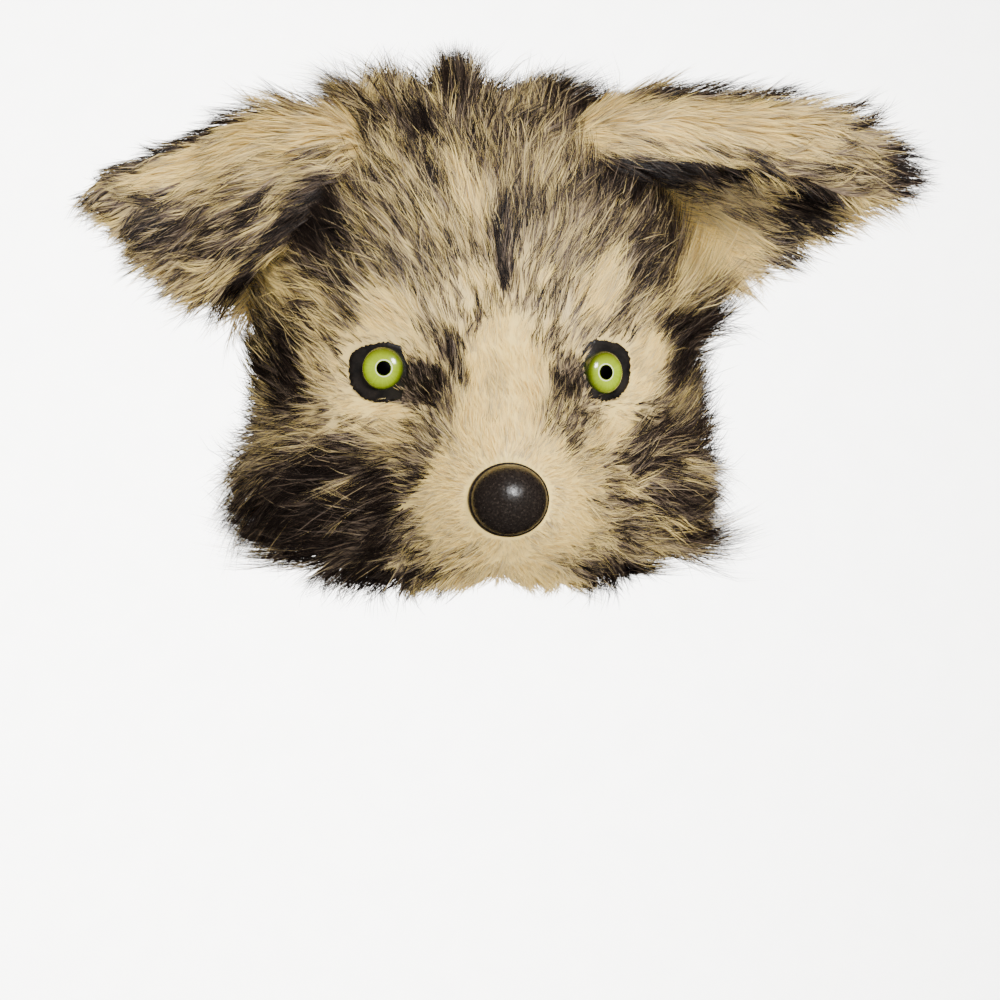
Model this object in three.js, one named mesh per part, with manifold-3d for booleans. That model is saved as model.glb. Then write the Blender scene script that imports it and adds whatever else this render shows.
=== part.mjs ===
// A werewolf carnival mask of long-pile fur fabric, in the form it takes on the wearer's head: a hollow face from
// the crown to the upper lip, open behind and below, with folded ears, domed eyes, a black nose and an elastic.
// Millimetres. +Z is up and the face looks along -Y. Left and right are as seen from the front, so right is +X.
// The origin is inside the crown, where the top of the wearer's head seats.
import * as THREE from "three";
import { mergeVertices } from "three/addons/utils/BufferGeometryUtils.js";
import Module from "manifold-3d";

const wasm = await Module();
wasm.setup();

// Fabric, and the gaps between pieces
const CLOTH = 2;
const GAP = 0.4;
const TRIM_GAP = 0.35;

// Face form: a dome round the nose, squarer than a ball, with its edge and its relief in the tables below
const NOSE_Z = -186;
const FACE_FRONT = -112;
const SIDE_SQUARENESS = 3;
const FRONT_SQUARENESS = 2.6;
const SPOKES = 44;
const RINGS = 14;

// The cloth's edge from the upper lip round the cheek to the crown, as seen from the front.
// angle: degrees above the level of the nose; reach: distance from the nose; edge_y: depth of the edge.
const EDGE = [
  { place: "middle of the lip", angle: -90, reach: 34, edge_y: -100 },
  { place: "side of the lip", angle: -41, reach: 55, edge_y: -88 },
  { place: "jaw", angle: -21, reach: 78, edge_y: -48 },
  { place: "cheek corner", angle: -10, reach: 94, edge_y: -14 },
  { place: "cheek", angle: 3, reach: 102, edge_y: 8 },
  { place: "side", angle: 21, reach: 104, edge_y: 24 },
  { place: "temple", angle: 40, reach: 129, edge_y: 32 },
  { place: "ear root", angle: 57, reach: 166, edge_y: 38 },
  { place: "crown corner", angle: 71, reach: 190, edge_y: 42 },
  { place: "crown", angle: 90, reach: 191, edge_y: 45 },
];

// Bulges and dents of the face, alike on both sides. x, z: middle; wide, up, down: how far each reaches;
// push: height, forwards; flat: 2 for a round top, more for a flat one.
const RELIEF = [
  { place: "muzzle", x: 0, z: -186, wide: 44, up: 54, down: 34, push: 58, flat: 3 },
  { place: "nose bridge", x: 0, z: -135, wide: 22, up: 40, down: 40, push: 13, flat: 2 },
  { place: "brow", x: 46, z: -100, wide: 30, up: 16, down: 16, push: 8, flat: 2 },
  { place: "eye socket", x: 52, z: -127, wide: 24, up: 18, down: 18, push: -6, flat: 4 },
  { place: "cheek", x: 76, z: -172, wide: 30, up: 34, down: 34, push: 8, flat: 2 },
  { place: "lip pad", x: 22, z: -206, wide: 20, up: 18, down: 18, push: 6, flat: 2 },
  { place: "forehead crease", x: 0, z: -72, wide: 10, up: 40, down: 30, push: -4, flat: 2 },
];

// Depth of the pile: the usual depth, and what each place adds to it
const PILE = 16;
const LEAST_PILE = 4.5;
const PILE_CHANGES = [
  { place: "muzzle", x: 0, z: -188, wide: 58, up: 46, down: 40, add: -10 },
  { place: "nose bridge", x: 0, z: -130, wide: 30, up: 36, down: 36, add: -6 },
  { place: "eye", x: 50, z: -127, wide: 32, up: 22, down: 24, add: -11 },
  { place: "cheek", x: 100, z: -190, wide: 40, up: 46, down: 34, add: 6 },
  { place: "crown", x: 0, z: 0, wide: 50, up: 40, down: 30, add: -4 },
];

// Eyes: a dome of moulded plastic on a black patch, which has a pointed inner corner
const EYE = { wide: 20, high: 20, deep: 7, rim: 2.6, points: 20 };
const PATCH = { thick: 1.6, outwards: 16.5, up: 13, points: 24, corner: 12, corner_angle: 200, corner_sharpness: 8 };
const EYES = [
  { side: "left", x: -49.8, z: -127, yaw_degrees: -22, patch_drop: 2 },
  { side: "right", x: 49.4, z: -128.7, yaw_degrees: 31, patch_drop: -1 },
];

const NOSE = { z: -187.5, wide: 36.4, high: 33.6, deep: 19, rim: 3, points: 28 };

// Openings in the pile, and how far the pieces' cutting forms reach
const OPENING_MARGIN = 1;
const PRISM_DEPTH = 70;
const SEAT_DEPTH = 8;
const DOME_STEPS = 8;

// Ears: sections from the head to the tip. x: distance from the mask's middle; crest: the fold along the top;
// front: the free edge of the flap before it; back: the lower edge of the wall behind it.
const EAR_HALF_THICK = 6.5;
const EAR_TIP_HALF_THICK = 4;
const EAR_EDGE_THINNING = 0.35;
const EAR_BULGE = 9;
const EAR_ACROSS = 6;
const EAR_SECTIONS = {
  left: [
    { x: 50, crest_y: -18, crest_z: -2, front_y: -64, front_z: -30, back_y: 10, back_z: -50 },
    { x: 70, crest_y: -20, crest_z: 4, front_y: -72, front_z: -33, back_y: 20, back_z: -80 },
    { x: 90, crest_y: -18, crest_z: 0, front_y: -64, front_z: -49, back_y: 19, back_z: -96 },
    { x: 108, crest_y: -16, crest_z: -5, front_y: -54, front_z: -70, back_y: 13, back_z: -100 },
    { x: 124, crest_y: -16, crest_z: -11, front_y: -42, front_z: -90, back_y: 6, back_z: -97 },
    { x: 137, crest_y: -16, crest_z: -17, front_y: -34, front_z: -92, back_y: 1, back_z: -89 },
    { x: 152, crest_y: -16, crest_z: -22, front_y: -30, front_z: -78, back_y: -4, back_z: -76 },
    { x: 169, crest_y: -16, crest_z: -28, front_y: -24, front_z: -64, back_y: -8, back_z: -62 },
    { x: 184, crest_y: -16, crest_z: -36, front_y: -18, front_z: -49, back_y: -13, back_z: -48 },
  ],
  right: [
    { x: 42, crest_y: -30, crest_z: 2, front_y: -66, front_z: -24, back_y: 10, back_z: -44 },
    { x: 62, crest_y: -30, crest_z: 6, front_y: -72, front_z: -26, back_y: 18, back_z: -66 },
    { x: 84, crest_y: -22, crest_z: 6, front_y: -64, front_z: -27, back_y: 22, back_z: -80 },
    { x: 106, crest_y: -16, crest_z: 5, front_y: -54, front_z: -31, back_y: 20, back_z: -90 },
    { x: 130, crest_y: -12, crest_z: 5, front_y: -45, front_z: -32, back_y: 16, back_z: -86 },
    { x: 155, crest_y: -11, crest_z: 4, front_y: -36, front_z: -36, back_y: 10, back_z: -70 },
    { x: 178, crest_y: -10, crest_z: 0, front_y: -27, front_z: -45, back_y: 3, back_z: -57 },
    { x: 195, crest_y: -10, crest_z: -8, front_y: -18, front_z: -45, back_y: -3, back_z: -47 },
    { x: 207, crest_y: -10, crest_z: -22, front_y: -13, front_z: -38, back_y: -7, back_z: -38 },
  ],
};

// Elastic behind the head: half an ellipse from inside one cheek's wall to inside the other's
const STRAP_WIDE = 20;
const STRAP_THICK = 1.4;
const STRAP_Z = -112;
const STRAP_FRONT_Y = -4;
const STRAP_BACK_Y = 104;
const STRAP_HALF_WIDE = 95.3;
const STRAP_STEPS = 28;

const LOOKS = {
  cloth: { color: 0x4a4038, roughness: 0.95 },
  fur: { color: 0x8f8068, roughness: 0.95 },
  patch: { color: 0x14110f, roughness: 0.6 },
  eye: { color: 0xa6c21c, roughness: 0.12 },
  nose: { color: 0x17130f, roughness: 0.3 },
  elastic: { color: 0x151515, roughness: 0.9 },
};

const mask = new THREE.Group();

function addPiece(name, geometry, look) {
  const mesh = new THREE.Mesh(geometry, new THREE.MeshStandardMaterial({ ...LOOKS[look], metalness: 0 }));
  mesh.name = name;
  mask.add(mesh);
}

// Smooth value of a column of EDGE at an angle, level at both ends, so that the face's halves meet smoothly
function edgeAt(angle, column) {
  const next = Math.max(1, EDGE.findIndex((row) => row.angle >= angle));
  const slope = (i) => {
    if (i === 0 || i === EDGE.length - 1) return 0;
    return (EDGE[i + 1][column] - EDGE[i - 1][column]) / (EDGE[i + 1].angle - EDGE[i - 1].angle);
  };
  const [a, b] = [EDGE[next - 1], EDGE[next]];
  const span = b.angle - a.angle;
  const t = THREE.MathUtils.clamp((angle - a.angle) / span, 0, 1);
  const ease = t * t * (3 - 2 * t);
  const rise = t * (1 - t) * span * ((1 - t) * slope(next - 1) - t * slope(next));
  return a[column] + (b[column] - a[column]) * ease + rise;
}

// How much a row of RELIEF or PILE_CHANGES counts at a place, from 1 at its middle to 0
function nearness(row, x, z, flat = 2) {
  const high = z > row.z ? row.up : row.down;
  return Math.exp(-(Math.hypot((Math.abs(x) - row.x) / row.wide, (z - row.z) / high) ** flat));
}

const relief = (x, z) => RELIEF.reduce((sum, row) => sum + row.push * nearness(row, x, z, row.flat), 0);

function pileAt(x, z) {
  const pile = PILE_CHANGES.reduce((sum, row) => sum + row.add * nearness(row, x, z), PILE);
  return Math.max(LEAST_PILE, pile);
}

// A point of the cloth's outer face. share: 0 at the nose, 1 at the edge
function facePoint(angle, share, withRelief) {
  const upwards = THREE.MathUtils.radToDeg(Math.asin(Math.sin(angle)));
  const reach = edgeAt(upwards, "reach") * share;
  const x = reach * Math.cos(angle);
  const z = NOSE_Z + reach * Math.sin(angle);
  const turn = Math.asin(Math.min(1, share ** (SIDE_SQUARENESS / 2)));
  const back = 1 - Math.max(0, Math.cos(turn)) ** (2 / FRONT_SQUARENESS);
  const y = FACE_FRONT + (edgeAt(upwards, "edge_y") - FACE_FRONT) * back;
  return new THREE.Vector3(x, withRelief ? y - relief(x, z) : y, z);
}

// The cloth's outer face at a place seen from the front
function faceAt(x, z) {
  const angle = Math.atan2(z - NOSE_Z, x);
  const upwards = THREE.MathUtils.radToDeg(Math.asin(Math.sin(angle)));
  return facePoint(angle, Math.hypot(x, z - NOSE_Z) / edgeAt(upwards, "reach"), true);
}

// The face as rings of points round one middle point, which is point 0
function facePoints(withRelief) {
  const points = [facePoint(0, 0, withRelief)];
  for (let ring = 1; ring <= RINGS; ring++) {
    const share = Math.sin((Math.PI / 2) * (ring / RINGS));
    for (let spoke = 0; spoke < SPOKES; spoke++) {
      points.push(facePoint((2 * Math.PI * spoke) / SPOKES, share, withRelief));
    }
  }
  return points;
}

// Triangles of rings of points round point 0, which face the way that the rings look anticlockwise from
function ringTriangles(rings, spokes) {
  const at = (ring, spoke) => 1 + (ring - 1) * spokes + (spoke % spokes);
  const triangles = [];
  for (let spoke = 0; spoke < spokes; spoke++) {
    triangles.push([0, at(1, spoke), at(1, spoke + 1)]);
    for (let ring = 1; ring < rings; ring++) {
      const [a, b, c, d] = [at(ring, spoke), at(ring + 1, spoke), at(ring + 1, spoke + 1), at(ring, spoke + 1)];
      triangles.push([a, b, c], [a, c, d]);
    }
  }
  return triangles;
}

function normalsOf(points, triangles) {
  const geometry = new THREE.BufferGeometry().setFromPoints(points).setIndex(triangles.flat());
  geometry.computeVertexNormals();
  return points.map((_, i) => new THREE.Vector3().fromBufferAttribute(geometry.attributes.normal, i));
}

// Two like sheets of points, joined along their border, as one closed geometry
function betweenSheets(front, back, triangles, border) {
  const count = front.length;
  const indices = [...triangles, ...triangles.map(([a, b, c]) => [c + count, b + count, a + count])];
  border.forEach((a, i) => {
    const b = border[(i + 1) % border.length];
    indices.push([b, a, a + count], [b, a + count, b + count]);
  });
  return new THREE.BufferGeometry().setFromPoints([...front, ...back]).setIndex(indices.flat());
}

const moved = (points, normals, depth) =>
  points.map((p, i) => p.clone().addScaledVector(normals[i], typeof depth === "function" ? depth(p) : depth));

function solidOf(geometry) {
  const bare = geometry.clone();
  bare.deleteAttribute("normal");
  bare.deleteAttribute("uv");
  const merged = mergeVertices(bare, 1e-4);
  return new wasm.Manifold(
    new wasm.Mesh({
      numProp: 3,
      vertProperties: merged.attributes.position.array,
      triVerts: new Uint32Array(merged.index.array),
    }),
  );
}

function geometryOf(solid) {
  const { vertProperties, triVerts } = solid.getMesh();
  const geometry = new THREE.BufferGeometry();
  geometry.setAttribute("position", new THREE.BufferAttribute(new Float32Array(vertProperties), 3));
  geometry.setIndex(new THREE.BufferAttribute(new Uint32Array(triVerts), 1));
  geometry.computeVertexNormals();
  return geometry;
}

// Face: the cloth wall, and the pile that stands on it
const cloth = facePoints(true);
const faceTriangles = ringTriangles(RINGS, SPOKES);
const clothNormals = normalsOf(cloth, faceTriangles);
const pileNormals = normalsOf(facePoints(false), faceTriangles);
const faceEdge = Array.from({ length: SPOKES }, (_, spoke) => 1 + (RINGS - 1) * SPOKES + spoke);

const clothInside = moved(cloth, clothNormals, -CLOTH);
addPiece("face_backing", betweenSheets(cloth, clothInside, faceTriangles, faceEdge), "cloth");

const pileFoot = moved(cloth, clothNormals, GAP);
const pileTop = moved(cloth, pileNormals, (p) => pileAt(p.x, p.z));
let faceFur = solidOf(betweenSheets(pileTop, pileFoot, faceTriangles, faceEdge));

// Everything inside a sheet of the face, which trims what seats on that sheet
function insideFace(sheet) {
  const edge = faceEdge.map((i) => sheet[i]);
  const behind = new THREE.Vector3(0, Math.max(...edge.map((p) => p.y)), NOSE_Z / 2);
  const lid = faceEdge.map((a, i) => [faceEdge[(i + 1) % SPOKES], a, sheet.length]);
  const geometry = new THREE.BufferGeometry().setFromPoints([...sheet, behind]);
  return solidOf(geometry.setIndex([...faceTriangles, ...lid].flat()));
}

function outline(count, at) {
  const points = Array.from({ length: count }, (_, i) => at((2 * Math.PI * i) / count));
  return new THREE.Shape(points.map(([x, z]) => new THREE.Vector2(x, z)));
}

// Outline of an eye patch: an ellipse drawn out to a corner low on the nose's side
function patchOutline(outward, margin) {
  return outline(PATCH.points, (turn) => {
    const round = turn * outward;
    const corner = Math.max(0, Math.cos(round - THREE.MathUtils.degToRad(PATCH.corner_angle)));
    const stretch = margin + PATCH.corner * corner ** PATCH.corner_sharpness;
    return [outward * (PATCH.outwards + stretch) * Math.cos(round), (PATCH.up + stretch) * Math.sin(round)];
  });
}

function noseOutline(margin) {
  return outline(NOSE.points, (turn) => [
    (NOSE.wide / 2 + margin) * Math.cos(turn),
    (NOSE.high / 2 + margin) * Math.sin(turn),
  ]);
}

// Prism that stands on both sides of a place on the face and looks the way that the piece there looks
function prismAt(shape, place, yaw) {
  const geometry = new THREE.ExtrudeGeometry(shape, { depth: PRISM_DEPTH, bevelEnabled: false });
  geometry.translate(0, 0, -PRISM_DEPTH / 2).rotateX(Math.PI / 2).rotateZ(yaw);
  return solidOf(geometry.translate(place.x, place.y, place.z));
}

// Dome on a straight rim that reaches into the face, looking along -Y from its own middle
function dome({ wide, high, deep, rim, points }) {
  const profile = [new THREE.Vector2(0, -SEAT_DEPTH), new THREE.Vector2(wide / 2, -SEAT_DEPTH)];
  for (let step = 0; step <= DOME_STEPS; step++) {
    const turn = (Math.PI / 2) * (step / DOME_STEPS);
    const radius = step === DOME_STEPS ? 0 : (wide / 2) * Math.cos(turn);
    profile.push(new THREE.Vector2(radius, rim + (deep - rim) * Math.sin(turn)));
  }
  return new THREE.LatheGeometry(profile, points).rotateX(Math.PI).scale(1, 1, high / wide);
}

// Eyes: each dome seats on its patch, and the patch on the cloth, inside an opening in the pile
const patchTop = moved(cloth, clothNormals, GAP + PATCH.thick);
const patchLayer = solidOf(betweenSheets(patchTop, pileFoot, faceTriangles, faceEdge));
const insidePatch = insideFace(moved(cloth, clothNormals, 2 * GAP + PATCH.thick));
for (const { side, x, z, yaw_degrees, patch_drop } of EYES) {
  const place = faceAt(x, z);
  const patchPlace = place.clone().setZ(z - patch_drop);
  const yaw = THREE.MathUtils.degToRad(yaw_degrees);
  const outward = Math.sign(x);
  const patch = patchLayer.intersect(prismAt(patchOutline(outward, 0), patchPlace, yaw));
  faceFur = faceFur.subtract(prismAt(patchOutline(outward, OPENING_MARGIN), patchPlace, yaw));
  addPiece("eye_patch_" + side, geometryOf(patch), "patch");
  const ball = dome(EYE).rotateZ(yaw).translate(place.x, place.y - GAP - PATCH.thick, place.z);
  addPiece("eye_" + side, geometryOf(solidOf(ball).subtract(insidePatch)), "eye");
}

// Nose: an egg-shaped dome that seats on the muzzle's tip
const noseSeat = faceAt(0, NOSE.z);
const noseDome = solidOf(dome(NOSE).translate(0, noseSeat.y, noseSeat.z));
faceFur = faceFur.subtract(prismAt(noseOutline(OPENING_MARGIN), noseSeat, 0));
addPiece("nose", geometryOf(noseDome.subtract(insideFace(pileFoot))), "nose");
addPiece("face_fur", geometryOf(faceFur), "fur");

// One leaf of an ear, from its crest to an edge, as a padded sheet
function earLeaf(sections, edge, outward) {
  const columns = EAR_ACROSS + 1;
  const away = edge === "front" ? -1 : 1;
  const sheet = [];
  const thickness = [];
  sections.forEach((row, i) => {
    const along = i / (sections.length - 1);
    for (let step = 0; step < columns; step++) {
      const t = step / EAR_ACROSS;
      const bulge = EAR_BULGE * 4 * t * (1 - t) * (1 - along);
      const y = THREE.MathUtils.lerp(row.crest_y, row[edge + "_y"], t) + away * bulge;
      const z = THREE.MathUtils.lerp(row.crest_z, row[edge + "_z"], t) + bulge / 2;
      sheet.push(new THREE.Vector3(outward * row.x, y, z));
      const half = THREE.MathUtils.lerp(EAR_HALF_THICK, EAR_TIP_HALF_THICK, along);
      thickness.push(half * (1 - EAR_EDGE_THINNING * t * t));
    }
  });
  const triangles = [];
  for (let i = 0; i < sections.length - 1; i++) {
    for (let step = 0; step < EAR_ACROSS; step++) {
      const a = i * columns + step;
      triangles.push([a, a + columns, a + columns + 1], [a, a + columns + 1, a + 1]);
    }
  }
  const last = (sections.length - 1) * columns;
  const border = [
    ...sections.slice(1).map((_, i) => i * columns),
    ...Array.from({ length: EAR_ACROSS }, (_, i) => last + i),
    ...sections.slice(1).map((_, i) => last + EAR_ACROSS - i * columns),
    ...Array.from({ length: EAR_ACROSS }, (_, i) => EAR_ACROSS - i),
  ];
  const normals = normalsOf(sheet, triangles);
  const face = (way) => sheet.map((p, i) => p.clone().addScaledVector(normals[i], way * thickness[i]));
  return solidOf(betweenSheets(face(1), face(-1), triangles, border));
}

const head = insideFace(moved(cloth, pileNormals, (p) => pileAt(p.x, p.z) + TRIM_GAP));
for (const [side, outward] of [["left", -1], ["right", 1]]) {
  const sections = EAR_SECTIONS[side];
  const ear = earLeaf(sections, "front", outward).add(earLeaf(sections, "back", outward));
  addPiece("ear_" + side, geometryOf(ear.subtract(head)), "fur");
}

// A flat band along that half ellipse, with its width upright
function headStrap() {
  const band = (inset) =>
    Array.from({ length: STRAP_STEPS + 1 }, (_, i) => {
      const turn = Math.PI * (i / STRAP_STEPS);
      const deep = STRAP_BACK_Y - STRAP_FRONT_Y - inset;
      return new THREE.Vector2((STRAP_HALF_WIDE - inset) * Math.cos(turn), STRAP_FRONT_Y + deep * Math.sin(turn));
    });
  const shape = new THREE.Shape([...band(0), ...band(STRAP_THICK).reverse()]);
  const geometry = new THREE.ExtrudeGeometry(shape, { depth: STRAP_WIDE, bevelEnabled: false });
  return geometry.translate(0, 0, STRAP_Z - STRAP_WIDE / 2);
}
addPiece("head_strap", headStrap(), "elastic");

export default mask;
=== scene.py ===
"""Werewolf carnival mask of long-pile fur fabric, with folded ears, domed eyes and a moulded nose.

Metres, +Z up. The face looks along -Y. Left and right are as seen from the front, so right is +X.
"""

import math

import bmesh
import bpy
import numpy as np
from bpy.props import FloatProperty, FloatVectorProperty, IntProperty, PointerProperty
from mathutils import Matrix, Vector, noise
from mathutils.bvhtree import BVHTree
from mathutils.kdtree import KDTree


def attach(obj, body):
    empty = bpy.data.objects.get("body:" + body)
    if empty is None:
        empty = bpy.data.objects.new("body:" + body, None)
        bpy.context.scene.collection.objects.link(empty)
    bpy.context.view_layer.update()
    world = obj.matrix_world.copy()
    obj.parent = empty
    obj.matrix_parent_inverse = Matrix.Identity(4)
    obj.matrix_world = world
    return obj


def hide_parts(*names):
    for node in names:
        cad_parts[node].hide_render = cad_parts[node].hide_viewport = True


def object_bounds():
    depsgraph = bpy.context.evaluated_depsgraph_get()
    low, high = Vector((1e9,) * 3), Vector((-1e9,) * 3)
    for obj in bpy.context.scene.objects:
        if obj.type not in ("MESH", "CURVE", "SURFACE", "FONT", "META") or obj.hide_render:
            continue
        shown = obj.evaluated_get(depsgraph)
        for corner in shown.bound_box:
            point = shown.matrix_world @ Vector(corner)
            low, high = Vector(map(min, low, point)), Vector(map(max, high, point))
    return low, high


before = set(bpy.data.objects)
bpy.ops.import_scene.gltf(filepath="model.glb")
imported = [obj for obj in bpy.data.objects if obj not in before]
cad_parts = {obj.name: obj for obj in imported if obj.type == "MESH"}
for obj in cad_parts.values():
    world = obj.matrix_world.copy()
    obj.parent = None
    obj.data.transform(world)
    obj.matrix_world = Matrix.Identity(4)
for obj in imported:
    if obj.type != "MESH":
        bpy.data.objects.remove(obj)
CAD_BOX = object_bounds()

bl_info = {
    "name": "Werewolf mask",
    "version": (1, 0, 0),
    "blender": (4, 5, 0),
    "location": "3D View > Sidebar > Mask",
    "description": "Furred carnival mask with folded ears, domed eyes and a moulded nose",
    "category": "Object",
}

MM = 0.001
BODY = "root"
BAKE_UV = "OFBake"

# The front view: the camera stands there, and the fur's lie and markings are charted in it
VIEW_TURN = math.radians(-5.8)
VIEW_AIM = Vector((7.5, -60.8, -187.6)) * MM
VIEW_DISTANCE = 2.5
VIEW_WIDTH = 0.47
VIEW_RIGHT = Vector((math.cos(VIEW_TURN), math.sin(VIEW_TURN), 0))
VIEW_TOWARDS = Vector((math.sin(VIEW_TURN), -math.cos(VIEW_TURN), 0))


def table(columns, *rows):
    """Rows of a chart as dictionaries by the names of its columns."""
    names = columns.split()
    return [dict(zip(names, row)) for row in rows]


# Places of the trim on the face in millimetres, as in the CAD model. yaw: degrees; patch_drop: how far the
# patch's middle lies below the eye's; bare_inner: share of its inner half that no fur covers; gaze: how far
# right of the dome's middle the pupil is painted, to look ahead
NOSE_PLACE = {"x": 0, "z": -187.5}
EYES = table(
    "side x z yaw patch_drop bare_inner gaze",
    ("left", -49.8, -127, -22, 2, 0.82, 1.8),
    ("right", 49.4, -128.7, 31, -1, 0.58, -2.4),
)
STRAP = {"z": -112, "front_y": -4, "back_y": 104, "half_wide": 95.3}

# How the fur lies, charted in the front view in millimetres across and up from the nose. wide, high: half
# sizes of each patch; length: of the pile; lift: degrees off the cloth; gather: how far the pile runs
# together in pointed tufts; droop: share of the lie that points down; crowd: how thick the strands stand
FACE_LIE_BASE = {"length": 30, "lift": 26, "gather": 0.4, "droop": 0.0, "crowd": 1.0}
FACE_LIE = table(
    "place across up wide high length lift gather droop crowd",
    ("forehead",           -5, 127,  85, 47, 31, 17,  0.3,     0,   1),
    ("crown",              -5, 193, 105, 26, 30, 42,  0.8,     0,   1),
    ("crown left",        -60, 184,  22, 14, 46, 56,  0.9,     0, 1.3),
    ("crown far right",    58, 178,  16, 14, 46, 58,  0.9,     0, 1.3),
    ("crown right",        26, 186,  26, 14, 38, 50,  0.9,     0, 1.2),
    ("crown tuft",        -20, 186,   8, 14, 42, 62, 0.95,     0, 1.5),
    ("left cheek",        -84,   2,  50, 42, 36, 26, 0.55,   0.4,   1),
    ("left edge",        -116,   0,  18, 44, 40, 45, 0.95,   0.4, 1.1),
    ("left jaw edge",    -104, -28,  28, 12, 46, 50,  0.9,  0.35, 1.2),
    ("left jaw",          -76, -35,  30,  8, 38, 34, 0.85,   1.1, 1.3),
    ("right jaw",          58, -33,  18,  8, 32, 34, 0.85,   0.9, 1.3),
    ("left side",        -112,  68,  12, 30, 26, 38,  0.6,     0,   1),
    ("right cheek",        80,  14,  34, 46, 34, 24,  0.5,   0.1,   1),
    ("right edge",         86,  30,  11, 44, 34, 52, 0.75,   0.1, 1.2),
    ("right side",         86,  86,  12, 22, 50, 62, 0.85,     0, 1.4),
    ("right tuft",         79, -19,  10,  7, 46, 62, 0.95, -0.25, 1.4),
    ("left eye",          -56,  61,  32, 22, 11, 16, 0.12,   0.1, 1.6),
    ("right eye",          48,  59,  28, 22, 11, 16, 0.12,     0, 1.6),
    ("below left eye",    -56,  40,  28,  9,  9, 14, 0.15,   0.6, 1.6),
    ("below right eye",    54,  38,  22,  9,  9, 14, 0.15,   0.5, 1.6),
    ("bridge",              0,  58,  24, 40, 14, 17,  0.3,     0, 1.5),
    ("muzzle",              4,   2,  48, 36, 13, 18,  0.3,   0.1, 1.8),
    ("lip",                 2, -38,  52,  9, 22, 32,  0.6,   0.6, 2.6),
    ("inside right eye",   31,  58,   7, 12,  7, 24,  0.3,     0, 2.2),
    ("inside left eye",   -34,  56,   9, 10,  8, 26,  0.3,     0, 2.2),
    ("nose rim",            0,   0,  24, 22,  8, 26, 0.25,   0.1, 2.8),
)

# Whorls that the face's pile is brushed away from, in the same chart: each takes over above a height
FACE_WHORLS = table(
    "place across up above fade",
    ("nose",    0,   0, -1000,  1),
    ("brow",    0,  70,    55, 50),
    ("crown", -16, 150,   150, 36),
)

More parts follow.
